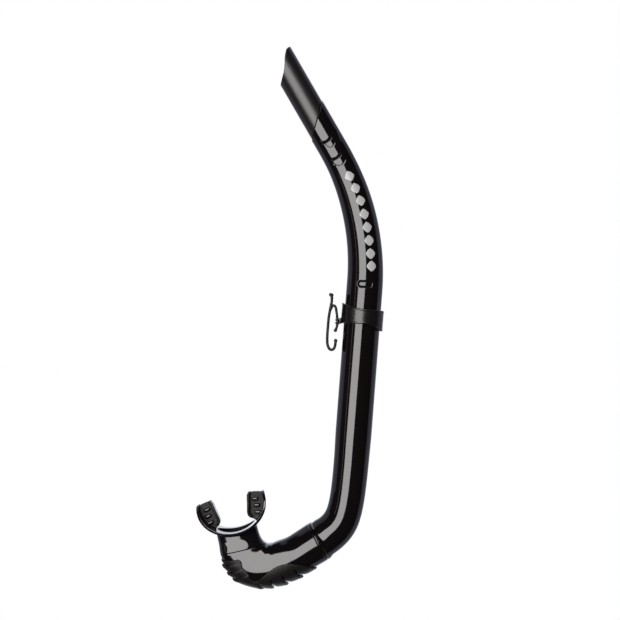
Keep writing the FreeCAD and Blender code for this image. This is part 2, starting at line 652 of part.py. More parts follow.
def build_clip():
    clip = new_body("keeper_clip", turned(*HINGE))
    thick = SIZE["ClipThickness"]
    thin = thick * SIZE["ClipThinning"]
    for name, path, thickness in (("long_arm", LONG_ARM, thick), ("arch", ARCH, thin),
                                  ("short_arm", SHORT_ARM, thin)):
        outline = relative(strip(smooth(path), thickness), HINGE)
        pad(clip, side_polygon(clip, name + "_outline", outline), name, "ClipWidth",
            midplane=True)
    for name, centre, radius in BEADS:
        x, z = relative([centre], HINGE)[0]
        pad(clip, side_circle(clip, name + "_outline", radius, x, z), name, "ClipWidth",
            midplane=True)
    # fork: room for the band's eye, with the bar left across it
    reach = SIZE["ForkReach"]
    square = [(-reach, reach), (reach, reach), (reach, -reach), (-reach, -reach)]
    pocket(clip, side_polygon(clip, "fork_outline", square), "fork", "ForkGap", midplane=True)
    pad(clip, side_circle(clip, "bar_outline", "BarRadius"), "bar", "ClipWidth",
        midplane=True)
    return clip


# ---------------------------------------------------------------- build, check and export
bodies = [build() for build in (build_barrel, build_tip, build_ring, build_seal, build_elbow,
                                build_guard, build_mouthpiece, build_band, build_clip)]
doc.recompute()
for item in doc.Objects:
    if "Invalid" in item.State or "Error" in item.State:
        raise RuntimeError("%s %s" % (item.Name, item.State))
os.makedirs("parts", exist_ok=True)
for body in bodies:
    shape = body.Shape
    if shape.isNull() or not shape.isValid() or len(shape.Solids) != 1:
        raise RuntimeError("%s is not one valid solid" % body.Label)
    shape.exportStep("parts/%s.step" % body.Label)
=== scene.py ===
# A black snorkel: a barrel with a bent top and tip tube, an elbow with a scaled guard, a mouthpiece,
# and a keeper band with a clip round the barrel.
# The straight run of the barrel stands along +Z at x = y = 0. Its top bends towards -X, and the elbow
# at its foot turns under and up to the mouthpiece on the -X side. The camera looks along +Y, so the
# near side is -Y and left is -X. Pieces are worked out in millimetres and degrees, and the studio
# in metres.
import math

import bmesh
import bpy
import numpy as np
from mathutils import Matrix, Vector


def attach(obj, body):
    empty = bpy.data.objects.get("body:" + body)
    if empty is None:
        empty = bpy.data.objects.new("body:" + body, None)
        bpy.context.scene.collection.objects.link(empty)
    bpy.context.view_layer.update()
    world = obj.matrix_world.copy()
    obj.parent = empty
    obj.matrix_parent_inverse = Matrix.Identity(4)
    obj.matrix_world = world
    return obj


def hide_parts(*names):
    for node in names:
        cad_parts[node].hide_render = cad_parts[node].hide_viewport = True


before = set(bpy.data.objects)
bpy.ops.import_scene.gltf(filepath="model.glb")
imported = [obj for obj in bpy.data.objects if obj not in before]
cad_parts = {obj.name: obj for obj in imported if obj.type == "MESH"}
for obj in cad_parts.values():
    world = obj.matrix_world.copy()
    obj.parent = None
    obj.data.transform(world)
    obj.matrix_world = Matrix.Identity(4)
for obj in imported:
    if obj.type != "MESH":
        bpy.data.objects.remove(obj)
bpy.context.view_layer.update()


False  # both modes build the same model
MM = 0.001

# ---------------------------------------------------------------- driving sizes, the CAD part's own
# tilts are degrees about +Y
JOINT_X, JOINT_Z, JOINT_TILT = -20.62, -173.44, 56.6     # where the barrel meets the elbow
COLLAR_X, COLLAR_Z, BEND = -45.44, 145.26, 34.33         # slanted top of the barrel, and its lean
HINGE_X, HINGE_Z = -18.6, -5.6                           # hinge of the clip on the band
MOUTH_X, MOUTH_Z, MOUTH_TILT = -88.76, -149.26, 17.34    # origin and lean of the mouthpiece
RUN_RADIUS, RUN_TOP = 13.9, 23.14                        # straight run of the barrel
BEND_RADIUS = 180.0
COLLAR_RADIUS = 11.3
TIP_RADIUS = 10.6
BORE = 9.1                                               # inner radius at the collar and tip
LIP_UP = 1.3                                             # bell lip above the joint plane
EYE_X, EYE_Z, EYE_DISTANCE = -40.05, 1.54, 1000.0        # camera, in front of the plane y = 0


# ---------------------------------------------------------------- numeric and mesh tools
def smoothstep(start, end, x):
    t = np.clip((x - start) / (end - start), 0.0, 1.0)
    return t * t * (3 - 2 * t)


def gauss_smooth(values, sigma):
    """Gaussian blur, with the ends continued by point reflection so that they stay put."""
    n = int(3 * sigma) + 1
    kernel = np.exp(-0.5 * (np.arange(-n, n + 1) / sigma) ** 2)
    kernel /= kernel.sum()
    head = 2 * values[0] - values[n:0:-1]
    tail = 2 * values[-1] - values[-2:-n - 2:-1]
    return np.convolve(np.concatenate([head, values, tail]), kernel, "valid")


def cubic(x, y, at):
    """Monotone cubic through the points (x, y)."""
    h = np.diff(x)
    slope = np.diff(y) / h
    m = np.zeros_like(y)
    m[0], m[-1] = slope[0], slope[-1]
    for i in range(1, len(x) - 1):
        if slope[i - 1] * slope[i] > 0:
            w1, w2 = 2 * h[i] + h[i - 1], h[i] + 2 * h[i - 1]
            m[i] = (w1 + w2) / (w1 / slope[i - 1] + w2 / slope[i])
    k = np.clip(np.searchsorted(x, at) - 1, 0, len(h) - 1)
    t = (at - x[k]) / h[k]
    return ((2 * t ** 3 - 3 * t ** 2 + 1) * y[k] + (t ** 3 - 2 * t ** 2 + t) * h[k] * m[k]
            + (3 * t ** 2 - 2 * t ** 3) * y[k + 1] + (t ** 3 - t ** 2) * h[k] * m[k + 1])


def resample(stations, step, sigma):
    """Distances and dense, smoothed stations. Each station is x, z, tilt, then sizes."""
    table = np.asarray(stations, float)
    travel = np.r_[0, np.cumsum(np.hypot(np.diff(table[:, 0]), np.diff(table[:, 1])))]
    dist = np.linspace(0, travel[-1], int(round(travel[-1] / step)) + 1)
    columns = [gauss_smooth(cubic(travel, column, dist), sigma / step) for column in table.T]
    return dist, np.stack(columns, 1)


def sample(dist, table, at):
    return [np.interp(at, dist, column) for column in table.T]


def place(x, z, tilt, across, y, along=0.0):
    """Points of a tilted section: across in the XZ plane, y, and along the section normal."""
    a = np.radians(tilt)
    return np.stack([x + across * np.cos(a) + along * np.sin(a), y + 0 * x + 0 * across,
                     z - across * np.sin(a) + along * np.cos(a)], -1)


def circle(x, z, tilt, radius, around, along=0.0):
    """Round section. The angle around starts on the section's +across side, towards the near side."""
    return place(x, z, tilt, radius * np.cos(around), -radius * np.sin(around), along)


def full_turn(cols):
    return np.linspace(0, 2 * np.pi, cols, endpoint=False)


def quarter(count, start=0.0):
    return np.linspace(start, np.pi / 2, count)


def new_object(name, verts, faces, materials, index=None):
    mesh = bpy.data.meshes.new(name)
    mesh.from_pydata([tuple(v) for v in np.asarray(verts) * MM], [],
                     [tuple(int(i) for i in f) for f in faces])
    obj = bpy.data.objects.new(name, mesh)
    bpy.context.scene.collection.objects.link(obj)
    for material in materials:
        mesh.materials.append(material)
    mesh.polygons.foreach_set("use_smooth", [True] * len(mesh.polygons))
    if index is not None:
        mesh.polygons.foreach_set("material_index", index)
    mesh.update()
    return obj


def grid_faces(rows, cols, close_rows):
    """Quads over rows of points, each row a closed ring."""
    row, col = np.meshgrid(np.arange(rows if close_rows else rows - 1), np.arange(cols),
                           indexing="ij")
    row2, col2 = (row + 1) % rows, (col + 1) % cols
    quads = [row * cols + col, row * cols + col2, row2 * cols + col2, row2 * cols + col]
    return np.stack(quads, -1).reshape(-1, 4)


def outward(verts, faces):
    """Flips every face if the closed surface has negative volume."""
    v = verts[faces]
    volume = (np.einsum("ij,ij->i", v[:, 0], np.cross(v[:, 1], v[:, 2])).sum()
              + np.einsum("ij,ij->i", v[:, 0], np.cross(v[:, 2], v[:, 3])).sum())
    return faces if volume > 0 else faces[:, ::-1]


def loft(name, rings, materials, index=None):
    """Closed skin over a loop of rings: outside, over the end, and back through the bore."""
    points = np.stack(rings)
    verts = points.reshape(-1, 3)
    faces = outward(verts, grid_faces(len(rings), points.shape[1], True))
    return new_object(name, verts, faces, materials, index)


# ---------------------------------------------------------------- signed distances, negative inside
def segment_square(px, pz, a, b):
    """Squared distance to a segment, with the edge and offset vectors."""
    ex, ez = b[0] - a[0], b[1] - a[1]
    wx, wz = px - a[0], pz - a[1]
    t = np.clip((wx * ex + wz * ez) / max(ex * ex + ez * ez, 1e-12), 0, 1)
    return (wx - ex * t) ** 2 + (wz - ez * t) ** 2, ex, ez, wx, wz


def sd_polygon(px, pz, polygon):
    polygon = np.asarray(polygon, float)
    best, inside = np.inf, False
    for a, b in zip(polygon, np.roll(polygon, -1, axis=0)):
        square, ex, ez, wx, wz = segment_square(px, pz, a, b)
        best = np.minimum(best, square)
        above_a, below_b, left_of = pz >= a[1], pz < b[1], ex * wz > ez * wx
        inside = inside ^ ((above_a & below_b & left_of) | (~above_a & ~below_b & ~left_of))
    dist = np.sqrt(best)
    return np.where(inside, -dist, dist)


def sd_path(px, pz, path):
    best = np.inf
    for a, b in zip(path[:-1], path[1:]):
        best = np.minimum(best, segment_square(px, pz, a, b)[0])
    return np.sqrt(best)


def sd_ellipse(x, y, a, b, power=2.0):
    """Nearly the distance to a superellipse with half axes a and b."""
    ax, ay = np.abs(x) / a + 1e-9, np.abs(y) / b + 1e-9
    f = ax ** power + ay ** power
    slope = np.hypot(power * ax ** (power - 1) / a, power * ay ** (power - 1) / b)
    gradient = (1.0 / power) * f ** (1.0 / power - 1.0) * slope
    return (f ** (1.0 / power) - 1.0) / np.maximum(gradient, 1e-6)


def sd_slot(x, y, half, radius):
    beyond = np.maximum(np.abs(x) - (half - radius), 0)
    return np.hypot(beyond, y) - radius


def round_and(a, b, radius):
    """Intersection with a rounded edge."""
    if radius <= 0:
        return np.maximum(a, b)
    u, v = a + radius, b + radius
    return np.minimum(np.maximum(u, v), 0) + np.hypot(np.maximum(u, 0), np.maximum(v, 0)) - radius


def round_cut(a, b, radius):
    return round_and(a, -b, radius)


def soft_or(a, b, fillet):
    """Union with a filleted inner corner."""
    t = np.maximum(fillet - np.abs(a - b), 0) / fillet
    return np.minimum(a, b) - t * t * fillet * 0.25


PROBE = 0.02      # half the step of the gradient estimate
PULLS = 3         # times the vertices are pulled on to the surface


def surface_net(field, low, high, cell):
    """Closed quad mesh of field(x, y, z) = 0, negative inside, pulled on to the surface."""
    low, high = np.asarray(low, float), np.asarray(high, float)
    count = np.ceil((high - low) / cell).astype(int) + 1
    gx, gy, gz = [low[i] + cell * np.arange(count[i]) for i in range(3)]
    values = field(gx[:, None, None], gy[None, :, None], gz[None, None, :])
    values = np.broadcast_to(values, count).astype(np.float32)
    negative = values < 0
    shape = count - 1
    total = np.zeros((*shape, 3), np.float32)
    hits = np.zeros(shape, np.int32)
    quads = []
    for axis in range(3):
        first, second = [slice(None)] * 3, [slice(None)] * 3
        first[axis] = slice(0, -1)
        second[axis] = slice(1, None)
        start = np.argwhere(negative[tuple(first)] != negative[tuple(second)])
        o1, o2 = [a for a in range(3) if a != axis]
        keep = ((start[:, o1] > 0) & (start[:, o2] > 0)
                & (start[:, o1] < count[o1] - 1) & (start[:, o2] < count[o2] - 1))
        start = start[keep]
        end = start.copy()
        end[:, axis] += 1
        a, b = values[tuple(start.T)], values[tuple(end.T)]
        crossing = start.astype(np.float32)
        crossing[:, axis] += a / (a - b)
        corners = []
        for d1, d2 in ((-1, -1), (0, -1), (0, 0), (-1, 0)):
            at = start.copy()
            at[:, o1] += d1
            at[:, o2] += d2
            np.add.at(total, tuple(at.T), crossing)
            np.add.at(hits, tuple(at.T), 1)
            corners.append(np.ravel_multi_index(tuple(at.T), shape))
        quad = np.stack(corners, 1)
        forward = a < 0
        if axis == 1:
            forward = ~forward
        quad[~forward] = quad[~forward][:, ::-1]
        quads.append(quad)
    used = np.flatnonzero(hits.ravel())
    remap = np.full(hits.size, -1, np.int64)
    remap[used] = np.arange(len(used))
    mean = total.reshape(-1, 3)[used] / hits.ravel()[used][:, None]
    verts = mean.astype(float) * cell + low
    faces = remap[np.concatenate(quads)]
    for _ in range(PULLS):
        value = field(*verts.T)
        gradient = np.stack([field(*(verts + shift).T) - field(*(verts - shift).T)
                             for shift in np.eye(3) * PROBE], 1) / (2 * PROBE)
        steep = np.maximum((gradient * gradient).sum(1), 0.05)
        move = -(value / steep)[:, None] * gradient
        length = np.linalg.norm(move, axis=1, keepdims=True)
        verts = verts + move * np.minimum(1.0, 0.45 * cell / np.maximum(length, 1e-9))
    return verts, faces


# ---------------------------------------------------------------- centre line of the barrel
JOINT_NORMAL = (math.sin(math.radians(JOINT_TILT)), math.cos(math.radians(JOINT_TILT)))
LIP_X = JOINT_X + LIP_UP * JOINT_NORMAL[0]
LIP_Z = JOINT_Z + LIP_UP * JOINT_NORMAL[1]

# x, z, tilt, radius, from the foot of the straight run down to the bell lip
LOWER = [
    (0.0, -90.0, 0.0, RUN_RADIUS), (0.0, -98.103, 0.0, 13.742), (-0.006, -106.205, 0.09, 13.571),
    (-0.110, -114.307, 1.44, 13.482), (-0.280, -122.408, 3.28, 13.433),
    (-0.576, -130.507, 5.66, 13.404), (-1.070, -138.598, 9.47, 13.420),
    (-1.994, -146.641, 15.16, 13.507), (-3.883, -154.530, 21.44, 13.645),
    (-7.720, -161.638, 30.14, 14.159), (-13.429, -167.380, 43.91, 14.66),
    (LIP_X, LIP_Z, JOINT_TILT, 14.80),
]
# radii at even steps round the bend
BEND_RADII = [RUN_RADIUS, 13.62, 13.3, 12.98, 12.68, 12.3, 11.85, 11.45, COLLAR_RADIUS]
BEYOND = 40.0     # straight length carried on past the bend


def barrel_stations():
    """Stations from the bell lip up past the end of the bend, and the point where the bend ends."""
    stations = LOWER[::-1]
    for z in np.arange(-82.0, RUN_TOP - 4, 8.0):
        stations.append((0.0, float(z), 0.0, RUN_RADIUS))
    for t in np.linspace(0, 1, 25):
        turn = math.radians(BEND) * t
        stations.append((-BEND_RADIUS * (1 - math.cos(turn)), RUN_TOP + BEND_RADIUS * math.sin(turn),
                         -math.degrees(turn), float(np.interp(t * 8, np.arange(9), BEND_RADII))))
    end_x, end_z = stations[-1][:2]
    for d in np.linspace(8.0, BEYOND, 5):
        stations.append((end_x + d * TOP_AXIS[0], end_z + d * TOP_AXIS[1], -BEND, COLLAR_RADIUS))
    return stations, end_x, end_z


TOP_AXIS = (-math.sin(math.radians(BEND)), math.cos(math.radians(BEND)))
STATIONS, BEND_END_X, BEND_END_Z = barrel_stations()
BARREL_DIST, BARREL = resample(STATIONS, step=0.5, sigma=3.0)
# the smoothing must not change the radius of the straight run
BARREL[:, 3] = np.where((BARREL[:, 1] > -89.0) & (BARREL[:, 1] < RUN_TOP - 1), RUN_RADIUS,
                        BARREL[:, 3])
# distances along the line of the top of the straight run and of the collar
RUN_DIST = float(np.interp(RUN_TOP, BARREL[:, 1], BARREL_DIST))
COLLAR_DIST = float(np.interp(
    (COLLAR_X - BEND_END_X) * TOP_AXIS[0] + (COLLAR_Z - BEND_END_Z) * TOP_AXIS[1],
    [0, BEYOND], [BARREL_DIST[-1] - BEYOND, BARREL_DIST[-1]]))

# ---------------------------------------------------------------- barrel relief
# In the relief u is the distance above the run top, and psi is degrees left of the near side.
# Nested scales below the collar: lowest point (psi, u), left and right half width, rise there,
# depth, width of the face, left and right ends (psi)
SCALES = [
    (14.0, 114.0, 4.0, 4.4, 0.8, 0.62, 1.9, 26.0, -6.0),
    (9.5, 108.7, 2.2, 4.9, 2.4, 0.20, 0.7, 24.0, -8.0),
    (14.0, 99.4, 4.0, 4.4, 0.8, 0.62, 1.9, 26.0, -6.0),
    (7.0, 93.4, 5.2, 6.2, 3.8, 0.22, 0.7, 28.0, -14.0),
]
# Long tapering ridges on the right flank: bottom (psi, u), top (psi, u), half width, height
FLAMES = [
    (-24.0, 100.0, -52.0, 121.0, 1.5, 0.16),
    (-16.0, 110.0, -36.0, 128.0, 1.2, 0.14),
]
END_FADE = 8.0                                            # degrees over which a scale dies out
STUD_ACROSS, STUD_UP, STUD_HALF, STUD_RADIUS = 0.5, 0.86, 6.1, 3.05   # oval stud, near side
STUD_GROOVE_DEPTH, STUD_GROOVE_HALF = 0.72, 0.9


def stud_sd(u, psi, radius):
    return sd_slot(radius * np.radians(psi) - STUD_ACROSS, u - STUD_UP, STUD_HALF, STUD_RADIUS)


def above_scale(u, psi, radius, middle, lowest, left, right, rise):
    """Distance above the curved lower edge of a scale."""
    across = radius * np.radians(psi - middle)
    half = np.where(across > 0, left, right)
    edge = lowest + rise * (across / half) ** 2
    slope = 2.0 * rise * across / half ** 2
    return (u - edge) / np.sqrt(1.0 + np.minimum(slope ** 2, 9.0))


def groove_shade_mask(u, psi, radius):
    """1 inside the narrow moulded grooves and the groove round the stud, where the dull black paints
    shade in.
    """
    mask = np.zeros(np.broadcast(u, psi).shape)
    for *shape, depth, width, left_end, right_end in SCALES:
        d = above_scale(u, psi, radius, *shape)
        hit = ((d > -0.3) & (d < width * 0.9)
               & (psi < left_end + END_FADE) & (psi > right_end - END_FADE))
        mask = np.where(hit & (depth > 0.4), 1.0, mask)
    d = stud_sd(u, psi, radius)
    return np.where((d < -0.15) & (d > -1.62) & (np.abs(psi) < 60), 1.0, mask)


def relief(u, psi, radius):
    """Height of the relief. The scales and ridges are repeated on the far side, the stud is not."""
    height = np.zeros(np.broadcast(u, psi).shape)
    top = 1.0 - smoothstep(122.0, 130.0, u)
    for side_psi in (psi, 180.0 - psi):
        p = (side_psi + 180.0) % 360.0 - 180.0
        for *shape, depth, width, left_end, right_end in SCALES:
            d = above_scale(u, p, radius, *shape)
            fade = ((1.0 - smoothstep(left_end, left_end + END_FADE, p))
                    * (1.0 - smoothstep(-right_end, -right_end + END_FADE, -p)) * top)
            # a sharp foot, then a face that climbs back to the surface
            height = height - depth * np.where(d > 0, np.clip(1.0 - d / width, 0.0, 1.0),
                                               np.clip(1.0 + d / 0.35, 0.0, 1.0)) * fade
        for p0, u0, p1, u1, half, rise in FLAMES:
            f = np.clip((u - u0) / (u1 - u0), 0.0, 1.0)
            middle = p0 + (p1 - p0) * f ** 1.3
            width = half * np.sin(np.pi * np.clip(f, 0.02, 0.98)) ** 0.7 + 0.05
            across = radius * np.radians(p - middle)
            height = height + (rise * np.clip(1.0 - np.abs(across) / width, 0.0, 1.0)
                               * smoothstep(0.0, 0.12, f) * (1.0 - smoothstep(0.85, 1.0, f))
                               * (np.abs(p) < 90))
    # a sharp groove round the stud
    off = np.abs(stud_sd(u, psi, radius) + STUD_GROOVE_HALF)
    groove = -STUD_GROOVE_DEPTH * np.clip(1.0 - off / STUD_GROOVE_HALF, 0.0, 1.0)
    return height + np.where(np.abs(psi) < 60, groove, 0.0)


# ---------------------------------------------------------------- barrel
BARREL_COLS = 236
SLANT_START = 13.0        # distance below the collar where the rings begin to slant
COLLAR_BORE = 10.4        # wider bore at the mouth, over the tip tube
# growth of the bell over the last few millimetres: distance from the lip, change of radius
BELL_FLARE = ([0.0, 2.9, 3.4, 8.5], [1.06, -0.15, -0.18, 0.0])
# stepped socket inside the bell: depth from the lip plane, radius
BELL_SOCKET = [(8.5, 10.7), (6.5, 10.6), (6.5, 12.05), (5.5, 12.05), (5.45, 12.45), (4.25, 12.45),
               (4.2, 12.05)]


def near_side_columns():
    """Angles round the barrel, closer together on the near side, where the relief is."""
    dense = np.linspace(0, 2 * np.pi, 2001)
    weight = 1.0 + 2.2 * np.exp(-((np.degrees(dense) - 92.0) / 42.0) ** 4)
    total = np.r_[0, np.cumsum(0.5 * (weight[1:] + weight[:-1]))]
    return np.interp(np.linspace(0, total[-1], BARREL_COLS, endpoint=False), total, dense)


def barrel_distances():
    """Distances of the outer rings from the lip, closest at the stud and the scales."""
    spans = [(0.0, 7.0, 15), (7.0, 28.0, 14), (28.0, RUN_DIST - 3.8, 36),
             (RUN_DIST - 3.8, RUN_DIST + 5.5, 62), (RUN_DIST + 5.5, RUN_DIST + 88.0, 30)]
    last = np.linspace(RUN_DIST + 88.0, COLLAR_DIST - SLANT_START, 110)
    return np.concatenate([np.linspace(*span)[:-1] for span in spans] + [last])


def build_barrel(gloss, groove):
    phi = near_side_columns()
    psi = (np.degrees(phi) - 90.0 + 180.0) % 360.0 - 180.0
    distances = barrel_distances()
    rings = []
    grooves = {}

    def lip_ring(depth, radius):
        # depth is measured from the lip plane into the barrel
        rings.append(circle(LIP_X + depth * JOINT_NORMAL[0], LIP_Z + depth * JOINT_NORMAL[1],
                            JOINT_TILT, radius, phi))

    def top_ring(up, radius):
        rings.append(circle(COLLAR_X, COLLAR_Z, -BEND, radius, phi, up))

    # bell lip: inner edge, rounded faces, outer edge
    lip_ring(0.35, 12.05)
    for t in quarter(4):
        lip_ring(0.3 - 0.3 * math.sin(t), 12.35 - 0.3 * math.cos(t))
    lip_ring(0.0, 13.9)
    for t in quarter(6):
        lip_ring(0.6 - 0.6 * math.cos(t), 15.25 + 0.6 * math.sin(t))
    # outside
    for s in distances[1:]:
        x, z, tilt, radius = sample(BARREL_DIST, BARREL, s)
        grooves[len(rings)] = groove_shade_mask(s - RUN_DIST, psi, radius)
        grown = radius + float(np.interp(s, *BELL_FLARE)) + relief(s - RUN_DIST, psi, radius)
        rings.append(circle(x, z, tilt, grown, phi))
    start = distances[-1]
    start_up = start - COLLAR_DIST

    def slant(part, radius, back=0.0):
        # from the last square ring (part 0) to the slanted mouth (part 1), less back down the tube
        up = start_up + (COLLAR_RADIUS * np.cos(phi) - back - start_up) * part
        # only the outer rings carry the relief
        if radius > 10.8:
            radius = radius + relief(start - RUN_DIST + (up - start_up), psi, COLLAR_RADIUS)
        top_ring(up, radius)

    for part in np.linspace(0.06, 0.985, 26):
        slant(part, COLLAR_RADIUS)
    for t in quarter(6):
        slant(1.0, COLLAR_RADIUS - 0.5 + 0.5 * math.cos(t), 0.5 - 0.5 * math.sin(t))
    slant(1.0, 10.55, 0.1)
    slant(1.0, COLLAR_BORE, 0.45)
    slant(0.6, COLLAR_BORE)
    slant(0.0, COLLAR_BORE)
    for up, radius in ((-19.0, COLLAR_BORE), (-19.0, BORE), (-22.0, BORE)):
        top_ring(up, radius)
    # bore, from the top down
    for s in np.linspace(COLLAR_DIST - 25.0, 16.0, 46):
        x, z, tilt, radius = sample(BARREL_DIST, BARREL, s)
        rings.append(circle(x, z, tilt, max(min(radius - 2.2, 11.7), BORE), phi))
    for depth, radius in BELL_SOCKET:
        lip_ring(depth, radius)

    mask = np.zeros((len(rings), BARREL_COLS))
    for row, values in grooves.items():
        mask[row] = values
    faces = grid_faces(len(rings), BARREL_COLS, True)
    # faces inside the grooves get the dull black, painted shade
    matte = (mask.reshape(-1)[faces].mean(1) > 0.5).astype(int)
    return loft("barrel_body", rings, [gloss, groove], matte.tolist())


# ---------------------------------------------------------------- lozenges down the near side
# u and psi of each centre
MARKS = [(83.4, -5.1), (73.5, -10.0), (63.5, -13.6), (53.2, -14.0), (43.2, -15.2), (33.4, -15.5),
         (23.6, -16.2), (14.4, -17.6)]
MARK_COLS = 48
MARK_HALF_WIDTH, MARK_HALF_HEIGHT, MARK_POWER = 3.75, 4.0, 1.35
MARK_LIFT, MARK_BASE = 0.17, 0.005       # top and underside above the barrel
# rings from the middle of the top, over the edge and back underneath: part of the radius, lift
MARK_RINGS = [(0.12, MARK_LIFT), (0.35, MARK_LIFT), (0.6, MARK_LIFT), (0.8, MARK_LIFT), (0.93, 0.16),
              (0.985, 0.12), (1.0, 0.05), (1.0, MARK_BASE), (0.9, MARK_BASE), (0.6, MARK_BASE),
              (0.35, MARK_BASE), (0.12, MARK_BASE)]


def barrel_point(u, psi, lift):
    x, z, tilt, radius = sample(BARREL_DIST, BARREL, RUN_DIST + u)
    return circle(x, z, tilt, radius + lift, np.radians(psi + 90.0))


def build_marks(material):
    verts, faces = [], []
    base = 0
    around = full_turn(MARK_COLS)
    c, s = np.cos(around), np.sin(around)
    reach = 1.0 / (np.abs(c / MARK_HALF_WIDTH) ** MARK_POWER
                   + np.abs(s / MARK_HALF_HEIGHT) ** MARK_POWER) ** (1 / MARK_POWER)
    rows = len(MARK_RINGS)
    top, under = rows * MARK_COLS, rows * MARK_COLS + 1
    foot = (rows - 1) * MARK_COLS
    caps = []
    for k in range(MARK_COLS):
        after = (k + 1) % MARK_COLS
        caps += [(top, after, k), (under, foot + k, foot + after)]
    mark_faces = [tuple(f) for f in grid_faces(rows, MARK_COLS, False)[:, ::-1]] + caps
    for u, psi in MARKS:
        radius = float(np.interp(RUN_DIST + u, BARREL_DIST, BARREL[:, 3]))
        for part, lift in MARK_RINGS:
            verts.append(barrel_point(u + reach * s * part,
                                      psi + np.degrees(reach * c * part / radius), lift))
        for lift in (MARK_LIFT, MARK_BASE):
            verts.append(barrel_point(np.array([u]), np.array([psi]), lift))
        faces += [tuple(i + base for i in f) for f in mark_faces]
        base += rows * MARK_COLS + 2
    obj = new_object("barrel_marks", np.concatenate(verts), faces, [material])
    bm = bmesh.new()
    bm.from_mesh(obj.data)
    bmesh.ops.recalc_face_normals(bm, faces=bm.faces)
    bm.to_mesh(obj.data)
    bm.free()
    return obj


# ---------------------------------------------------------------- tip tube
TIP_COLS = 160
TIP_WALL_HALF = 0.75
# curved mouth of the tube, in the frame of the collar: across, height of the edge
TIP_MOUTH = np.array([
    (-13.0, 36.0), (-10.3, 38.1), (-7.3, 40.85), (-5.0, 42.9), (-2.7, 45.5), (-0.44, 48.6),
    (1.7, 51.9), (4.15, 54.9), (7.1, 57.7), (9.87, 58.9), (13.0, 59.6)])


def build_tip(material):
    phi = full_turn(TIP_COLS)
    across = TIP_RADIUS * np.cos(phi)
    rim = cubic(TIP_MOUTH[:, 0], TIP_MOUTH[:, 1], across) - TIP_WALL_HALF
    seam = across + 0.42
    # plug inside the barrel, up to the seam: height, radius
    profile = [(-18.9, BORE), (-18.9, 10.1), (-18.65, 10.35), (-15.0, 10.35), (seam - 1.0, 10.2),
               (seam - 0.1, 10.1)]
    profile += [(seam + 0.3 * (1 - math.cos(t)), 10.25 + 0.35 * math.sin(t)) for t in quarter(5)]
    for f in np.linspace(0, 1, 44):
        profile.append((seam + 0.5 + (rim - seam - 0.5) * f ** 0.9, TIP_RADIUS))
    # rounded rim over the wall
    for t in np.linspace(0.12, np.pi - 0.12, 11):
        profile.append((rim + TIP_WALL_HALF * math.sin(t),
                        TIP_RADIUS - TIP_WALL_HALF + TIP_WALL_HALF * math.cos(t)))
    for f in np.linspace(0, 1, 24):
        profile.append((rim + (-17.0 - rim) * f, BORE))
    rings = [circle(COLLAR_X, COLLAR_Z, -BEND, radius, phi, up) for up, radius in profile]
    return loft("tip_tube", rings, [material])


# ---------------------------------------------------------------- elbow
NECK_TILT = 180.0 - MOUTH_TILT
# x, z, tilt, half width in the XZ plane, half depth, from the joint to the neck
ELBOW_STATIONS = [
    (JOINT_X, JOINT_Z, JOINT_TILT, 15.75, 15.75), (-24.69, -176.45, 56.91, 15.60, 15.68),
    (-29.57, -180.02, 57.60, 15.45, 15.62), (-36.43, -185.04, 61.80, 15.41, 15.50),
    (-44.33, -189.36, 71.53, 16.14, 15.35), (-51.605, -192.379, 85.04, 16.70, 15.00),
    (-58.55, -193.76, 101.38, 17.14, 14.30), (-64.99, -193.17, 117.25, 17.86, 13.40),
    (-70.21, -190.76, 133.05, 18.28, 12.50), (-74.20, -187.29, 146.63, 17.93, 12.00),
    (-76.745, -182.69, NECK_TILT, 18.045, 11.60),
]
ELBOW_DIST, ELBOW = resample(ELBOW_STATIONS, step=0.4, sigma=2.0)
ELBOW[0] = ELBOW_STATIONS[0]
ELBOW[-1] = ELBOW_STATIONS[-1]
ELBOW_COLS = 176
# stepped collar that goes up into the bell: height over the joint plane, radius
JOINT_PROFILE = [
    (7.7, 10.3), (7.7, 11.6), (7.3, 12.0), (6.62, 12.0), (6.5, 12.3), (6.0, 12.35), (5.75, 12.0),
    (4.3, 12.0), (4.28, 11.05), (3.02, 11.05), (3.0, 12.0), (0.3, 12.0), (0.0, 12.2), (0.0, 13.8),
    (0.0, 14.9),
]
# oval spigot that goes into the mouthpiece: distance along, half width, half depth
SPIGOT_X, SPIGOT_Z = -78.182, -183.138
SPIGOT = [(0.0, 15.2, 9.85), (-0.25, 14.85, 9.5), (-5.7, 14.85, 9.5), (-6.0, 14.55, 9.2),
          (-6.0, 13.6, 8.25), (-5.7, 13.34, 8.0), (0.0, 13.34, 8.0)]
# wall thickness: part of the length, thickness
ELBOW_WALL = ([0, 0.06, 0.14, 0.25, 0.8, 0.93, 1.0], [5.75, 4.2, 2.9, 2.3, 2.3, 2.7, 3.2])
NECK_EDGE = 0.18          # rounding of the edge at the neck


def oval(phi, w, d, power):
    c, s = np.cos(phi), np.sin(phi)
    return (w * np.sign(c) * np.abs(c) ** (2.0 / power),
            d * np.sign(s) * np.abs(s) ** (2.0 / power))


def even_oval(cols, w, d, power):
    """Points spaced evenly round the oval."""
    phi = np.linspace(0, 2 * np.pi, 2000)
    across, y = oval(phi, w, d, power)
    travel = np.r_[0, np.cumsum(np.hypot(np.diff(across), np.diff(y)))]
    even = np.interp(np.linspace(0, travel[-1], cols, endpoint=False), travel, phi)
    return oval(even, w, d, power)


def squareness(f):
    """Power of the section: round at the joint (f = 0), a flat-sided oval at the neck (f = 1)."""
    return 2.0 + 0.75 * smoothstep(0.25, 0.85, f)


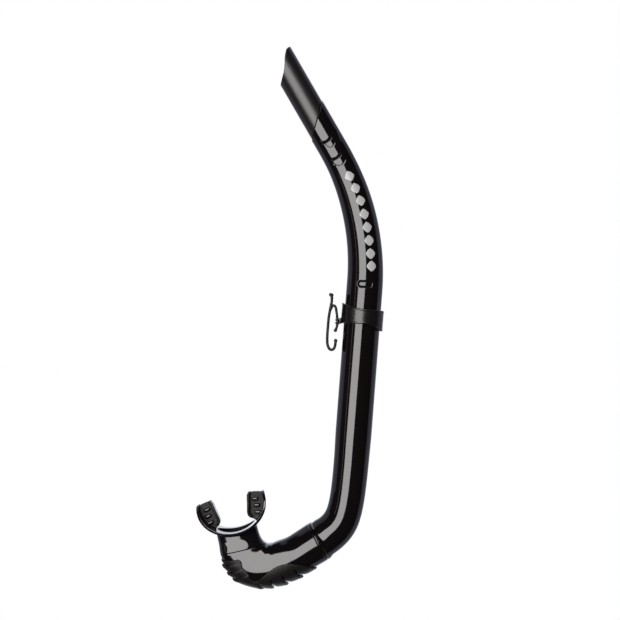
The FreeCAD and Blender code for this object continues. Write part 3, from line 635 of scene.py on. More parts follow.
def build_elbow(material):
    rings = []
    around = full_turn(ELBOW_COLS)
    length = ELBOW_DIST[-1]

    def joint_ring(up, radius):
        rings.append(circle(JOINT_X, JOINT_Z, JOINT_TILT, radius, around, up))

    def oval_ring(x, z, tilt, w, d, power, along):
        across, y = even_oval(ELBOW_COLS, w, d, power)
        rings.append(place(x, z, tilt, across, -y, along))

    def station(s, inset=0.0, power=None, along=0.0):
        x, z, tilt, w, d = sample(ELBOW_DIST, ELBOW, s)
        power = squareness(s / length) if power is None else power
        oval_ring(x, z, tilt, w - inset, d - inset, power, along)

    for up, radius in JOINT_PROFILE:
        joint_ring(up, radius)
    for t in quarter(7, start=0.15):
        joint_ring(-0.8 + 0.8 * math.cos(t), 14.95 + 0.8 * math.sin(t))
    for s in np.linspace(0.95, length - 1.0, 110):
        station(s)
    for t in quarter(5):
        station(length, inset=NECK_EDGE - NECK_EDGE * math.cos(t),
                along=NECK_EDGE - NECK_EDGE * math.sin(t))
    for along, w, d in SPIGOT:
        oval_ring(SPIGOT_X, SPIGOT_Z, NECK_TILT, w, d, 2.0, along)
    # bore, back to the joint
    for s in np.linspace(length - 3, 3.0, 40):
        f = s / length
        power = 2.0 + (squareness(f) - 2.0) * 0.7 * (1 - smoothstep(0.85, 1.0, f))
        station(s, inset=float(np.interp(f, *ELBOW_WALL)), power=power)
    joint_ring(0.0, 10.0)
    joint_ring(7.5, 10.0)
    return loft("elbow_bend", rings, [material])


# ---------------------------------------------------------------- outside of the elbow as a surface
# s is the distance along its outer side, and q the girth from the outermost line, q > 0 near
OUTER_PART = 0.75         # the length is measured at this part of the half width
OUTER_TILT = np.radians(ELBOW[:, 2])
OUTER_DIST = np.r_[0, np.cumsum(np.hypot(
    np.diff(ELBOW[:, 0] + OUTER_PART * ELBOW[:, 3] * np.cos(OUTER_TILT)),
    np.diff(ELBOW[:, 1] - OUTER_PART * ELBOW[:, 3] * np.sin(OUTER_TILT))))]
GIRTH = 15.2              # radius that turns angles into girth


def elbow_surface(s, q):
    x, z, tilt, w, d = sample(OUTER_DIST, ELBOW, s)
    power = squareness(np.interp(s, OUTER_DIST, ELBOW_DIST) / ELBOW_DIST[-1])
    phi = q / GIRTH
    c, k = np.cos(phi), np.sin(phi)
    # the direction at angle phi meets the oval at this distance
    reach = (np.abs(c / w) ** power + np.abs(k / d) ** power) ** (-1.0 / power)
    return place(x, z, tilt, reach * c, -reach * k)


def elbow_lift(s, q, height):
    """Points at this height over the surface."""
    point = elbow_surface(s, q)
    e = 0.15
    du = elbow_surface(s + e, q) - elbow_surface(s - e, q)
    dv = elbow_surface(s, q + e) - elbow_surface(s, q - e)
    normal = np.cross(du, dv)
    normal /= np.linalg.norm(normal, axis=-1, keepdims=True)
    out = point - elbow_surface(s, q + math.pi * GIRTH)
    sign = np.sign((normal * out).sum(-1, keepdims=True))
    return point + normal * sign * height[..., None]


def side_to_elbow(x, z):
    """(s, q) on the near side of the surface, straight across from the side-view point (x, z)."""
    along = (x - ELBOW[:, 0]) * np.sin(OUTER_TILT) + (z - ELBOW[:, 1]) * np.cos(OUTER_TILT)
    across = (x - ELBOW[:, 0]) * np.cos(OUTER_TILT) - (z - ELBOW[:, 1]) * np.sin(OUTER_TILT)
    i = int(np.argmin(np.where(across > -2.0, np.abs(along), 1e9)))
    power = squareness(ELBOW_DIST[i] / ELBOW_DIST[-1])
    w, d = ELBOW[i, 3], ELBOW[i, 4]
    part = min(max(across[i] / w, -0.999), 1.0)
    y = d * (1 - abs(part) ** power) ** (1.0 / power)
    q = float(math.atan2(y, across[i]) * GIRTH) if part < 1.0 else 0.0
    return float(OUTER_DIST[i]), q


def seen_point(x, z):
    """(s, q) of the near-side point that lines up with (x, 0, z) for the camera."""
    px, pz = x, z
    for _ in range(3):
        s, q = side_to_elbow(px, pz)
        y = float(elbow_surface(np.array([s]), np.array([q]))[0, 1])
        near = 1.0 + y / EYE_DISTANCE
        px, pz = EYE_X + (x - EYE_X) * near, EYE_Z + (z - EYE_Z) * near
    return side_to_elbow(px, pz)


# ---------------------------------------------------------------- guard on the elbow
# upper edge as the camera sees it, x and z
GUARD_EDGE = [
    (-97.0, -190.2), (-92.6, -192.0), (-88.0, -192.6), (-84.76, -192.93), (-82.2, -192.3),
    (-80.0, -192.0), (-78.2, -192.7), (-77.0, -194.7), (-76.9, -197.1), (-75.32, -198.85),
    (-72.6, -200.4), (-70.6, -203.0), (-69.0, -206.0), (-66.6, -207.3), (-63.4, -206.4),
    (-60.6, -203.9), (-57.0, -200.0), (-53.66, -196.98), (-50.4, -194.9), (-47.2, -193.4),
    (-43.6, -192.4), (-39.6, -192.0), (-34.6, -192.0), (-30.0, -192.3), (-26.0, -192.6),
    (-22.4, -192.9), (-18.9, -193.0)]
# slits between the scales: outer end, inner end, half widths there
RIGHT_SLITS = [
    ((-28.2, -198.1), (-37.6, -195.9), 2.4, 0.5),
    ((-39.0, -205.2), (-46.4, -200.6), 2.3, 0.5),
    ((-49.2, -209.9), (-54.2, -204.8), 2.0, 0.5),
    ((-57.2, -212.0), (-63.0, -208.6), 1.4, 0.45),
]
LEFT_SLITS = [
    ((-93.6, -195.0), (-86.2, -196.2), 1.4, 0.4),
    ((-90.6, -201.6), (-82.6, -201.4), 1.4, 0.4),
    ((-86.6, -206.4), (-78.8, -205.6), 1.3, 0.4),
]
GUARD_HEIGHT, GUARD_LOW, GUARD_HIGH = 1.15, 0.55, 2.9    # plain height, and its limits
GUARD_UNDER = 0.07                                       # underside over the elbow
GUARD_CELL = 0.36


def slits_on_elbow(slits):
    return [(np.array([side_to_elbow(*outer)[0], 0.0]), np.array(seen_point(*inner)), wide, narrow)
            for outer, inner, wide, narrow in slits]


def build_guard(material):
    outline = [seen_point(x, z) for x, z in GUARD_EDGE]
    # both ends are carried past the outermost line, because the plan is mirrored there
    outline[0] = (outline[0][0], -6.0)
    outline[-1] = (outline[-1][0], -6.0)
    outline = np.array(outline)
    right, left = slits_on_elbow(RIGHT_SLITS), slits_on_elbow(LEFT_SLITS)

    def plan(s, q):
        aq = np.abs(q)
        d = sd_polygon(s, aq, outline)
        for outer, inner, wide, narrow in right + left:
            es, eq = inner - outer
            length = math.hypot(es, eq)
            es, eq = es / length, eq / length
            along = (s - outer[0]) * es + (aq - outer[1]) * eq
            across = (s - outer[0]) * -eq + (aq - outer[1]) * es
            half = wide + (narrow - wide) * np.clip((along + 2) / (length + 2), 0, 1)
            d = np.maximum(d, -np.maximum(np.abs(across) - half, along - length))
        return d

    def height(s, q):
        aq = np.abs(q)
        h = GUARD_HEIGHT + 0 * s + 0 * q
        # each scale rises towards its tip: the right group's point at the joint, the left group's
        # at the mouth
        for slits, sign, rise in ((right, -1.0, 0.62), (left, 1.0, 1.15)):
            for outer, inner, wide, _ in slits:
                es, eq = inner - outer
                past = sign * ((s - outer[0]) - es / max(eq, 1e-3) * aq)
                tip = np.exp(-np.clip(-past - wide, 0, None) / 3.6) * (past < 0.0)
                root = np.exp(-np.clip(past - wide, 0, None) / 2.2) * (past > 0.0)
                side = 1.0 - smoothstep(5.0, 17.0, aq)
                h = h + rise * tip * side - 0.35 * root * side
        return np.clip(h, GUARD_LOW, GUARD_HIGH)

    def field(s, q, h):
        return np.maximum(round_and(plan(s, q), h - height(s, q), 0.42), GUARD_UNDER - h)

    reach = outline[:, 1].max() + 1.2
    verts, faces = surface_net(field, [outline[:, 0].min() - 1.2, -reach, -0.4],
                               [outline[:, 0].max() + 1.2, reach, 3.3], GUARD_CELL)
    points = elbow_lift(*verts.T)
    return new_object("guard_scales", points, outward(points, faces), [material])


# ---------------------------------------------------------------- mouthpiece
# Its own frame: x across, positive towards the joint, y depth, z from the neck to the bite tabs.
SHIELD_X, SHIELD_A, SHIELD_B = 0.4, 25.7, 21.7   # ellipse in XZ that the shield follows
SHIELD_HALF_WALL = 1.05
SHIELD_GIRTH = 23.9                              # radius that turns angles into length round it
SHIELD_HALF_LENGTH, SHIELD_HALF_HEIGHT = 42.2, 16.0
NECK_FOOT = -35.28
SOCKET_A, SOCKET_B, SOCKET_TOP = 14.93, 9.58, -29.1
MOUTH_CELL = 0.37
# outlines of one bite tab and of its wall, and centres of its lugs: x, z
TAB = [(26.2, -1.0), (25.9, 2.2), (24.2, 3.5), (22.4, 4.1), (18.5, 4.9), (14.6, 5.0), (13.2, 3.4),
       (12.1, -2.6), (10.6, -9.1), (10.7, -11.6), (13.0, -14.4), (16.6, -17.0), (17.9, -18.8),
       (21.2, -16.0), (24.0, -11.9), (26.0, -6.0)]
TAB_WALL = [(14.6, 5.1), (13.1, 3.5), (12.0, -2.6), (10.5, -9.1), (10.6, -11.6), (12.4, -13.9),
            (13.7, -12.7), (12.5, -10.7), (12.4, -8.9), (13.9, -2.8), (15.0, 2.9), (16.2, 5.0)]
LUGS = [(18.6, -0.6), (18.9, -5.6), (18.4, -10.8)]
LUG_COS, LUG_SIN = 0.975, -0.22                  # lean of the lugs
LUG_HALF, LUG_RADIUS = 2.5, 1.25


def shield_sd(x, z):
    return sd_ellipse(x - SHIELD_X, z, SHIELD_A, SHIELD_B)


def lug_sd(ax, z, lug):
    dx, dz = ax - lug[0], z - lug[1]
    return sd_slot(dx * LUG_COS + dz * LUG_SIN, -dx * LUG_SIN + dz * LUG_COS, LUG_HALF, LUG_RADIUS)


def shield_field(x, y, z, middle):
    """Lip shield: curved to follow the teeth, with a soft oval outline."""
    angle = np.arctan2(np.abs(x - SHIELD_X) / SHIELD_A, -z / SHIELD_B)
    outline = sd_ellipse(angle * SHIELD_GIRTH, y, SHIELD_HALF_LENGTH, SHIELD_HALF_HEIGHT, 2.6)
    # the rim is bevelled, except at the open end on the joint side
    bevel = 0.5 * middle * (1.0 - smoothstep(-14.0, -6.0, z) * smoothstep(-5.0, 5.0, x))
    return round_and(np.abs(middle) - SHIELD_HALF_WALL, outline + bevel, 0.4)


def neck_field(x, y, z, middle):
    """Sleeve and neck in one taper, flared at its foot on the side towards the joint."""
    up = smoothstep(-35.5, -27.0, z)
    joint_side = 15.6 + 4.1 * np.exp(-np.clip(z + 35.3, 0.0, None) / 3.4)
    half_width = np.where(x > 0, joint_side, 16.5 - 0.6 * up)
    ends = np.maximum(np.maximum(NECK_FOOT - z, z + 4.0), -0.4 - middle)
    return round_and(sd_ellipse(x, y, half_width, 11.9 - 1.1 * up, 2.75), ends, 0.18)


def tab_field(ax, ay, z, middle):
    """Bite tabs: a plate with a wall along its inner edge and three lugs."""
    plate = round_and(sd_polygon(ax, z, TAB), ay - 2.0, 0.7)
    wall_height = 5.6 - 0.9 * smoothstep(-4, -14, z) - 0.6 * smoothstep(0, 5, z)
    wall = round_and(sd_polygon(ax, z, TAB_WALL), ay - wall_height, 0.6)
    tab = soft_or(plate, wall, 1.1)
    for lug in LUGS:
        tab = soft_or(tab, round_and(lug_sd(ax, z, lug), ay - 3.1, 1.15), 0.35)
    return np.maximum(tab, middle - 0.3)


def mouth_field(x, y, z):
    middle = shield_sd(x, z)
    body = soft_or(shield_field(x, y, z, middle), neck_field(x, y, z, middle), 1.3)
    body = soft_or(body, tab_field(np.abs(x), np.abs(y), z, middle), 0.8)
    # airway, flared at the mouth
    flare = smoothstep(-25.0, -21.0, z)
    air = np.maximum(sd_ellipse(x, y, 13.2 + 1.4 * flare, 7.8 + 1.6 * flare, 2.2), z + 16.5)
    body = round_cut(body, air, 0.5)
    socket = np.maximum(sd_ellipse(x, y, SOCKET_A, SOCKET_B), z - SOCKET_TOP)
    return np.maximum(body, -socket)


def mouth_finish(verts, faces):
    """Material slot of each face: 0 polished, 1 matte, 2 dull black that paints shade."""
    corner = verts[faces]
    x, y, z = corner.mean(1).T
    ax, ay = np.abs(x), np.abs(y)
    normal = np.cross(corner[:, 2] - corner[:, 0], corner[:, 3] - corner[:, 1])
    normal /= np.maximum(np.linalg.norm(normal, axis=1, keepdims=True), 1e-12)
    # the tabs are matte apart from the polished inner face of each bite wall
    inside = shield_sd(x, z) < np.where(z > -12.0, -0.7, -1.6)
    matte = inside & (z > -18.5) & ~((ax < 14.2) & (np.abs(normal[:, 0]) > 0.55))
    # and the worn tops of the lugs
    for lug in LUGS:
        matte = matte & ~((lug_sd(ax, z, lug) < 0.1) & (ay < 5.0) & (ay > 2.15))
    # the wall of the airway gets the dull black, painted shade that keeps it dark
    bore = (((x / 15.6) ** 2 + (y / 10.5) ** 2 < 1.0) & (z < -18.5)
            & (np.abs(normal[:, 2]) < 0.8))
    return np.where(bore, 2, matte.astype(int)).tolist()


def build_mouthpiece(polished, matte, dull):
    verts, faces = surface_net(mouth_field, [-28.4, -17.4, -36.4], [28.4, 17.4, 7.0], MOUTH_CELL)
    x, y, z = verts.T
    points = place(MOUTH_X, MOUTH_Z, -MOUTH_TILT, x, y, z)
    return new_object("mouthpiece_moulding", points, outward(points, faces),
                      [polished, matte, dull], mouth_finish(verts, faces))


# ---------------------------------------------------------------- keeper band
# upper and lower edges: x, z
BAND_TOP = np.array([
    (-17.5, 9.7), (-15.93, 9.08), (-13.09, 7.77), (-8.43, 6.6), (-3.78, 5.66), (0.04, 5.49),
    (5.38, 5.44), (11.49, 5.29), (17.5, 4.8)])
BAND_FOOT = np.array([
    (-17.5, -6.55), (-14.75, -6.45), (-7.47, -6.05), (-2.9, -6.01), (2.43, -5.91), (6.31, -6.76),
    (10.24, -8.37), (13.44, -10.41), (17.5, -10.9)])
BAND_OUTER, BAND_INNER = 16.05, 13.952
BEAD_HEIGHT, BEAD_INSET, BEAD_SPREAD = 0.22, 0.8, 0.55
EYE_OUTER, EYE_HOLE = 2.25, 1.16      # radii of the hinge eye
BAND_CELL = 0.38
FINE_X = np.linspace(-17.4, 17.4, 400)
FINE_TOP, FINE_FOOT = [cubic(edge[:, 0], edge[:, 1], FINE_X) for edge in (BAND_TOP, BAND_FOOT)]


def band_field(x, y, z):
    radius = np.hypot(x, y)
    top, foot = np.interp(x, FINE_X, FINE_TOP), np.interp(x, FINE_X, FINE_FOOT)
    # a slight bead along both edges
    bead = (BEAD_HEIGHT * np.exp(-((z - top + BEAD_INSET) / BEAD_SPREAD) ** 2)
            + BEAD_HEIGHT * np.exp(-((z - foot - BEAD_INSET) / BEAD_SPREAD) ** 2))
    body = round_and(radius - BAND_OUTER - bead, np.maximum(z - top, foot - z) * 0.96, 0.5)
    # hinge eye and its root
    from_hinge = np.hypot(x - HINGE_X, z - HINGE_Z)
    root = sd_polygon(x, z, [(HINGE_X + 0.3, HINGE_Z + 2.15), (-15.2, HINGE_Z + 3.4),
                             (-14.4, HINGE_Z - 0.9), (HINGE_X + 0.3, HINGE_Z - 2.1)])
    eye = round_and(soft_or(from_hinge - EYE_OUTER, root, 0.6), np.abs(y) - 3.0, 0.45)
    body = soft_or(body, eye, 1.0)
    body = round_cut(body, from_hinge - EYE_HOLE, 0.12)
    # the eye is open on the side away from the barrel
    gap = sd_polygon(x, z, [(HINGE_X + 0.05, HINGE_Z), (HINGE_X - 3.4, HINGE_Z + 1.35),
                            (HINGE_X - 3.4, HINGE_Z - 1.35)])
    body = round_cut(body, gap, 0.2)
    return np.maximum(body, BAND_INNER - radius)


def build_band(material):
    verts, faces = surface_net(band_field, [-22.0, -17.4, -12.4], [17.6, 17.4, 11.0], BAND_CELL)
    return new_object("keeper_sleeve", verts, outward(verts, faces), [material])


# ---------------------------------------------------------------- clip
def smooth_path(points, steps=4):
    """Catmull-Rom curve through the points."""
    path = []
    last = len(points) - 1
    for i in range(last):
        p0, p1, p2, p3 = points[max(i - 1, 0)], points[i], points[i + 1], points[min(i + 2, last)]
        for j in range(steps):
            t = j / steps
            path.append(tuple(
                0.5 * (2 * p1[c] + (p2[c] - p0[c]) * t
                       + (2 * p0[c] - 5 * p1[c] + 4 * p2[c] - p3[c]) * t * t
                       + (3 * p1[c] - p0[c] - 3 * p2[c] + p3[c]) * t ** 3) for c in (0, 1)))
    path.append(points[-1])
    return path


# centre lines in side view: x, z
LONG_ARM = smooth_path([
    (-25.05, 14.3), (-24.15, 9.91), (-24.77, 3.99), (-25.47, -2.85), (-25.6, -10.63),
    (-25.5, -17.94), (-24.9, -23.4), (-23.3, -26.5), (-21.5, -27.2), (-19.9, -26.2),
    (-19.1, -23.7), (-19.0, -20.0)])
ARCH = smooth_path([(-24.4, 3.6), (-23.4, 5.7), (-21.9, 6.2), (-20.7, 4.6), (-20.0, 1.8),
                    (-19.3, -1.6), (HINGE_X, HINGE_Z)])
SHORT_ARM = smooth_path([(HINGE_X, HINGE_Z), (-18.6, -7.6), (-19.0, -10.2), (-19.7, -12.2)])
# swellings on the arms: x, z, radius
SWELLINGS = [(-25.5, 14.35, 1.15), (-24.15, 14.0, 1.1), (-24.3, 12.0, 0.95), (-19.0, -20.0, 1.2),
             (-19.8, -12.4, 1.25)]
GROOVE_X, GROOVE_RADIUS, GROOVE_HEIGHTS = -25.55, 0.42, (8.6, 10.4, 12.2)
CLIP_HALF_WIDTH = 7.0
BAR_RADIUS, BAR_HALF_LENGTH = 1.1, 6.6
CLIP_CELL = 0.3


def clip_field(x, y, z):
    ay = np.abs(y)
    side = soft_or(sd_path(x, z, LONG_ARM) - 1.04, sd_path(x, z, ARCH) - 0.98, 0.9)
    side = soft_or(side, sd_path(x, z, SHORT_ARM) - 0.95, 0.5)
    for cx, cz, radius in SWELLINGS:
        side = soft_or(side, np.hypot(x - cx, z - cz) - radius, 0.8)
    # the long arm is slightly waisted
    half = CLIP_HALF_WIDTH - 0.55 * np.exp(-((z + 9.0) / 9.0) ** 2) * (x < -22.5)
    body = round_and(side, ay - half, 0.86)
    # shallow grooves across the top of the long arm's outer face
    for groove_z in GROOVE_HEIGHTS:
        body = round_cut(body, np.hypot(x - GROOVE_X, z - groove_z) - GROOVE_RADIUS, 0.15)
    # a gap for the hinge eye, with the bar across it
    around_hinge = np.maximum(np.abs(x - HINGE_X) - 3.4, np.abs(z - HINGE_Z) - 3.4)
    body = round_cut(body, round_and(around_hinge, ay - 3.2, 0.0), 0.25)
    bar = np.maximum(np.hypot(x - HINGE_X, z - HINGE_Z) - BAR_RADIUS, ay - BAR_HALF_LENGTH)
    return np.minimum(body, bar)


def build_clip(material):
    verts, faces = surface_net(clip_field, [-27.2, -7.6, -29.0], [-17.0, 7.6, 16.4], CLIP_CELL)
    return new_object("clip_hook", verts, outward(verts, faces), [material])


# ---------------------------------------------------------------- joint ring
RING_COLS = 160
RING_SPAN = 1.26          # twice the height of the middle of the land
# lower half of the one narrow land between two shadow gaps: height over the joint plane, radius
RING_LAND = [(0.05, 14.95), (0.24, 15.0), (0.28, 15.45), (0.31, 15.58), (0.35, 15.6)]


def build_ring(material):
    phi = full_turn(RING_COLS)
    upper = [(RING_SPAN - up, radius) for up, radius in RING_LAND[::-1]]
    profile = ([(0.05, 12.1), (0.05, 14.0)] + RING_LAND + upper
               + [(1.21, 14.0), (1.21, 12.1), (1.1, 12.03), (0.15, 12.03)])
    rings = [circle(JOINT_X, JOINT_Z, JOINT_TILT, radius, phi, up) for up, radius in profile]
    return loft("ring_bead", rings, [material])


# ---------------------------------------------------------------- materials
def add_noise(nt, coords, scale, detail):
    noise = nt.nodes.new("ShaderNodeTexNoise")
    noise.inputs["Scale"].default_value = scale
    noise.inputs["Detail"].default_value = detail
    nt.links.new(coords.outputs["Object"], noise.inputs["Vector"])
    return noise.outputs["Fac"]


def make_material(name, color, rough, rough_spread=0.03, rough_scale=300.0, color_spread=0.15,
                  specular=0.5, ripple=0.0, grain=0.0, grain_scale=1500.0, grain_detail=2.0):
    """Plastic or rubber with uneven gloss and colour. Ripple (broad) and grain (fine) are bump
    heights in metres."""
    mat = bpy.data.materials.new(name)
    mat.use_nodes = True
    nt = mat.node_tree
    bsdf = nt.nodes["Principled BSDF"]
    coords = nt.nodes.new("ShaderNodeTexCoord")
    patches = add_noise(nt, coords, scale=rough_scale, detail=4.0)
    spread = nt.nodes.new("ShaderNodeMapRange")
    spread.inputs["From Min"].default_value = 0.3
    spread.inputs["From Max"].default_value = 0.7
    spread.inputs["To Min"].default_value = max(rough - rough_spread, 0.0)
    spread.inputs["To Max"].default_value = rough + rough_spread
    nt.links.new(patches, spread.inputs["Value"])
    nt.links.new(spread.outputs["Result"], bsdf.inputs["Roughness"])
    # inputs 0, 6 and 7 of a colour mix are its factor, A and B, and output 2 its result
    tint = nt.nodes.new("ShaderNodeMix")
    tint.data_type = "RGBA"
    tint.inputs[6].default_value = (*[c * (1 - color_spread) for c in color], 1)
    tint.inputs[7].default_value = (*[c * (1 + color_spread) for c in color], 1)
    nt.links.new(add_noise(nt, coords, scale=90.0, detail=3.0), tint.inputs[0])
    nt.links.new(tint.outputs[2], bsdf.inputs["Base Color"])
    bsdf.inputs["IOR"].default_value = 1.5
    bsdf.inputs["Specular IOR Level"].default_value = specular
    normal = None
    for height, scale, detail in ((ripple, 45.0, 1.0), (grain, grain_scale, grain_detail)):
        if not height:
            continue
        noise = add_noise(nt, coords, scale, detail)
        bump = nt.nodes.new("ShaderNodeBump")
        bump.inputs["Strength"].default_value = 1.0
        bump.inputs["Distance"].default_value = height
        nt.links.new(noise, bump.inputs["Height"])
        if normal is not None:
            nt.links.new(normal, bump.inputs["Normal"])
        normal = bump.outputs["Normal"]
    if normal is not None:
        nt.links.new(normal, bsdf.inputs["Normal"])
    return mat


GLOSS_COLOR = (0.0032, 0.0024, 0.0027)
GLOSS = make_material("gloss_black", GLOSS_COLOR, rough=0.07, rough_spread=0.015,
                      rough_scale=220.0, ripple=0.00001, color_spread=0.2)
ELBOW_GLOSS = make_material("elbow_gloss_black", GLOSS_COLOR, rough=0.08, rough_spread=0.02,
                            rough_scale=220.0, ripple=0.00001, color_spread=0.2)
TIP = make_material("tip_satin_black", (0.0045, 0.0038, 0.0042), rough=0.33, rough_spread=0.01,
                    specular=0.48)
RING = make_material("ring_gloss_black", (0.0035, 0.003, 0.0035), rough=0.12, rough_spread=0.02)
GUARD = make_material("guard_charcoal", (0.0050, 0.0042, 0.0040), rough=0.46, rough_spread=0.06,
                      rough_scale=700.0, grain=0.000012, grain_scale=2400.0, grain_detail=4.0,
                      specular=0.24)
SILICONE = make_material("silicone_polished", (0.0035, 0.003, 0.0035), rough=0.06,
                         rough_spread=0.02, rough_scale=350.0, color_spread=0.2)
BITE = make_material("silicone_matte", (0.0042, 0.0034, 0.0030), rough=0.48, rough_spread=0.07,
                     rough_scale=900.0, grain=0.000006, grain_detail=3.0, color_spread=0.3,
                     specular=0.22)
BAND = make_material("band_matte", (0.0042, 0.0039, 0.0037), rough=0.25, rough_spread=0.02,
                     rough_scale=600.0, grain=0.0000015, grain_scale=1400.0, grain_detail=3.0,
                     specular=0.43)
CLIP = make_material("clip_satin", (0.0034, 0.0028, 0.0028), rough=0.14, rough_spread=0.02,
                     rough_scale=500.0, specular=0.12)
# dull, hardly reflecting black: painted shade in the barrel's grooves and on the mouthpiece's airway
# wall
PAINTED_SHADE_BLACK = make_material("painted_shade_black", (0.0030, 0.0026, 0.0026), rough=0.55, rough_spread=0.05,
                       rough_scale=700.0, specular=0.05)
SEAL = make_material("seal_rubber", (0.010, 0.010, 0.010), rough=0.55, rough_spread=0.05,
                     rough_scale=800.0, grain=0.00001)
SILVER = make_material("mark_silver", (0.26, 0.26, 0.265), rough=0.30, rough_spread=0.05,
                       rough_scale=900.0, grain=0.000006, grain_scale=2400.0, color_spread=0.06)


# ---------------------------------------------------------------- pieces
def fit(obj, rides, replaces=None):
    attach(obj, rides)
    if replaces:
        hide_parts(replaces)


fit(build_barrel(GLOSS, PAINTED_SHADE_BLACK), rides="barrel", replaces="barrel")
fit(build_marks(SILVER), rides="barrel")
fit(build_tip(TIP), rides="barrel", replaces="barrel_tip")
fit(build_elbow(ELBOW_GLOSS), rides="elbow", replaces="elbow")
fit(build_ring(RING), rides="elbow", replaces="joint_ring")
fit(build_guard(GUARD), rides="elbow", replaces="elbow_guard")
fit(build_mouthpiece(SILICONE, BITE, PAINTED_SHADE_BLACK), rides="elbow", replaces="mouthpiece")
fit(build_band(BAND), rides="keeper", replaces="keeper_band")
fit(build_clip(CLIP), rides="clip", replaces="keeper_clip")

# the CAD seal stays and only gets its rubber
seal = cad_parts["joint_o_ring"]
seal.data.materials.clear()
seal.data.materials.append(SEAL)


# ---------------------------------------------------------------- studio, in metres
def emission(name, color, strength):
    mat = bpy.data.materials.new(name)
    mat.use_nodes = True
    nt = mat.node_tree
    nt.nodes.clear()
    out = nt.nodes.new("ShaderNodeOutputMaterial")
    light = nt.nodes.new("ShaderNodeEmission")
    light.inputs["Color"].default_value = (*color, 1)
    light.inputs["Strength"].default_value = strength
    nt.links.new(light.outputs[0], out.inputs[0])
    return mat


def surface_input(nt):
    """The output's surface input, and the shader linked to it."""
    out = [n for n in nt.nodes if n.type == "OUTPUT_MATERIAL"][0]
    return out.inputs[0], out.inputs[0].links[0].from_socket


def dim_in_reflections(mat, near, far, near_at, far_at):
    """In reflections the colour goes from near to far between two distances from x = 0."""
    nt = mat.node_tree
    surface, shader = surface_input(nt)
    path = nt.nodes.new("ShaderNodeLightPath")
    mix = nt.nodes.new("ShaderNodeMixShader")
    light = nt.nodes.new("ShaderNodeEmission")
    geometry = nt.nodes.new("ShaderNodeNewGeometry")
    split = nt.nodes.new("ShaderNodeSeparateXYZ")
    aside = nt.nodes.new("ShaderNodeMath")
    aside.operation = "ABSOLUTE"
    fall = nt.nodes.new("ShaderNodeMapRange")
    fall.inputs["From Min"].default_value = near_at
    fall.inputs["From Max"].default_value = far_at
    color = nt.nodes.new("ShaderNodeMix")
    color.data_type = "RGBA"
    color.inputs[6].default_value = (*near, 1)
    color.inputs[7].default_value = (*far, 1)
    nt.links.new(geometry.outputs["Position"], split.inputs[0])
    nt.links.new(split.outputs[0], aside.inputs[0])
    nt.links.new(aside.outputs[0], fall.inputs["Value"])
    nt.links.new(fall.outputs["Result"], color.inputs[0])
    nt.links.new(color.outputs[2], light.inputs["Color"])
    nt.links.new(path.outputs["Is Glossy Ray"], mix.inputs[0])
    nt.links.new(shader, mix.inputs[1])
    nt.links.new(light.outputs[0], mix.inputs[2])
    nt.links.new(mix.outputs[0], surface)


def see_through_from_behind(mat):
    """Shows the surface only from its front, so it never hides the object from behind."""
    nt = mat.node_tree
    surface, shader = surface_input(nt)
    geometry = nt.nodes.new("ShaderNodeNewGeometry")
    clear = nt.nodes.new("ShaderNodeBsdfTransparent")
    mix = nt.nodes.new("ShaderNodeMixShader")
    nt.links.new(geometry.outputs["Backfacing"], mix.inputs[0])
    nt.links.new(shader, mix.inputs[1])
    nt.links.new(clear.outputs[0], mix.inputs[2])
    nt.links.new(mix.outputs[0], surface)


def stage_plane(name, corners, mat):
    mesh = bpy.data.meshes.new(name)
    mesh.from_pydata([tuple(c) for c in corners], [], [(0, 1, 2, 3)])
    mesh.update()
    obj = bpy.data.objects.new(name, mesh)
    bpy.context.scene.collection.objects.link(obj)
    mesh.materials.append(mat)
    return obj


# camera place and axes, rolled slightly about its line of sight
CAMERA = Vector((EYE_X * MM, -EYE_DISTANCE * MM, EYE_Z * MM))
RIGHT = Vector((0.99714, 0.0, 0.0756))
UP = Vector((-RIGHT.z, 0.0, RIGHT.x))
BACK = Vector((0.0, -1.0, 0.0))
VIEW_WIDTH = 0.4712       # seen at 1 m from the camera
SENSOR_WIDTH = 36.0
HALF_WIDTH = 7            # of the floor and backdrop
BACKDROP_Y, BACKDROP_HALF_HEIGHT = 0.55, 5
FLOOR_Z, FLOOR_FRONT = -0.2165, -0.35
PANEL_DISTANCE = 5.0


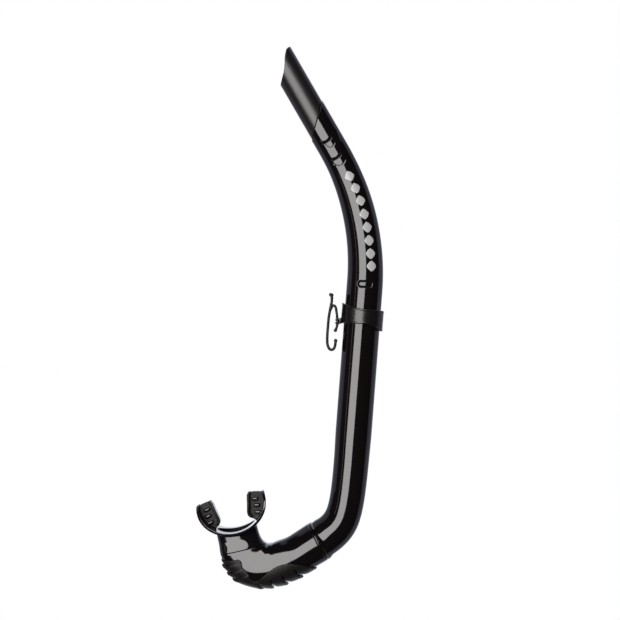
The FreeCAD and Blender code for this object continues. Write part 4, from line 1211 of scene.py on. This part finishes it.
def build_backdrop_and_floor():
    white = emission("backdrop_white", (1.0, 1.0, 1.0), strength=1.0)
    dim_in_reflections(white, near=(1.55, 1.62, 1.8), far=(0.37, 0.37, 0.45), near_at=0.16,
                       far_at=0.34)
    see_through_from_behind(white)
    w, y, h = HALF_WIDTH, BACKDROP_Y, BACKDROP_HALF_HEIGHT
    stage_plane("backdrop", [(-w, y, -h), (w, y, -h), (w, y, h), (-w, y, h)], white)
    floor = stage_plane("floor", [(-w, FLOOR_FRONT, FLOOR_Z), (w, FLOOR_FRONT, FLOOR_Z),
                                  (w, y, FLOOR_Z), (-w, y, FLOOR_Z)], white)
    floor.visible_glossy = False


def build_world():
    """Pale to the camera from any side, and dark in reflections."""
    world = bpy.data.worlds.new("studio")
    bpy.context.scene.world = world
    world.use_nodes = True
    nt = world.node_tree
    background = nt.nodes["Background"]
    background.inputs["Color"].default_value = (1.0, 1.0, 1.0, 1)
    path = nt.nodes.new("ShaderNodeLightPath")
    nt.links.new(path.outputs["Is Camera Ray"], background.inputs["Strength"])


def panel(name, corners, centre, strength, color):
    """A flat lit panel behind the camera. Corners are degrees left and up, seen from the centre."""
    points = []
    for left, up in corners:
        rise = math.tan(math.radians(up)) / math.cos(math.radians(left))
        points.append(Vector(centre) + PANEL_DISTANCE
                      * (BACK - RIGHT * math.tan(math.radians(left)) + UP * rise))
    stage_plane(name, points, emission(name + "_light", color, strength))


def build_camera():
    data = bpy.data.cameras.new("camera")
    camera = bpy.data.objects.new("camera", data)
    bpy.context.scene.collection.objects.link(camera)
    data.sensor_width = SENSOR_WIDTH
    data.lens = SENSOR_WIDTH / VIEW_WIDTH
    data.clip_start = 0.01
    rows = [(RIGHT[i], UP[i], BACK[i], CAMERA[i]) for i in range(3)]
    camera.matrix_world = Matrix((*rows, (0, 0, 0, 1)))
    bpy.context.scene.camera = camera


build_backdrop_and_floor()
build_world()
panel("key_panel", [(50.0, -15.5), (3.9, -15.5), (-18.0, 46.0), (18.0, 46.0)],
      centre=(-0.04, 0.0, -0.15), strength=8.0, color=(1.0, 0.975, 0.965))
panel("edge_strip", [(60.5, -12.0), (58.6, -12.0), (58.6, 12.0), (60.5, 12.0)],
      centre=(-0.04, 0.0, 0.0), strength=2.2, color=(1.0, 0.85, 0.72))
build_camera()
bpy.context.scene.view_settings.view_transform = "Standard"
bpy.context.scene.view_settings.look = "None"
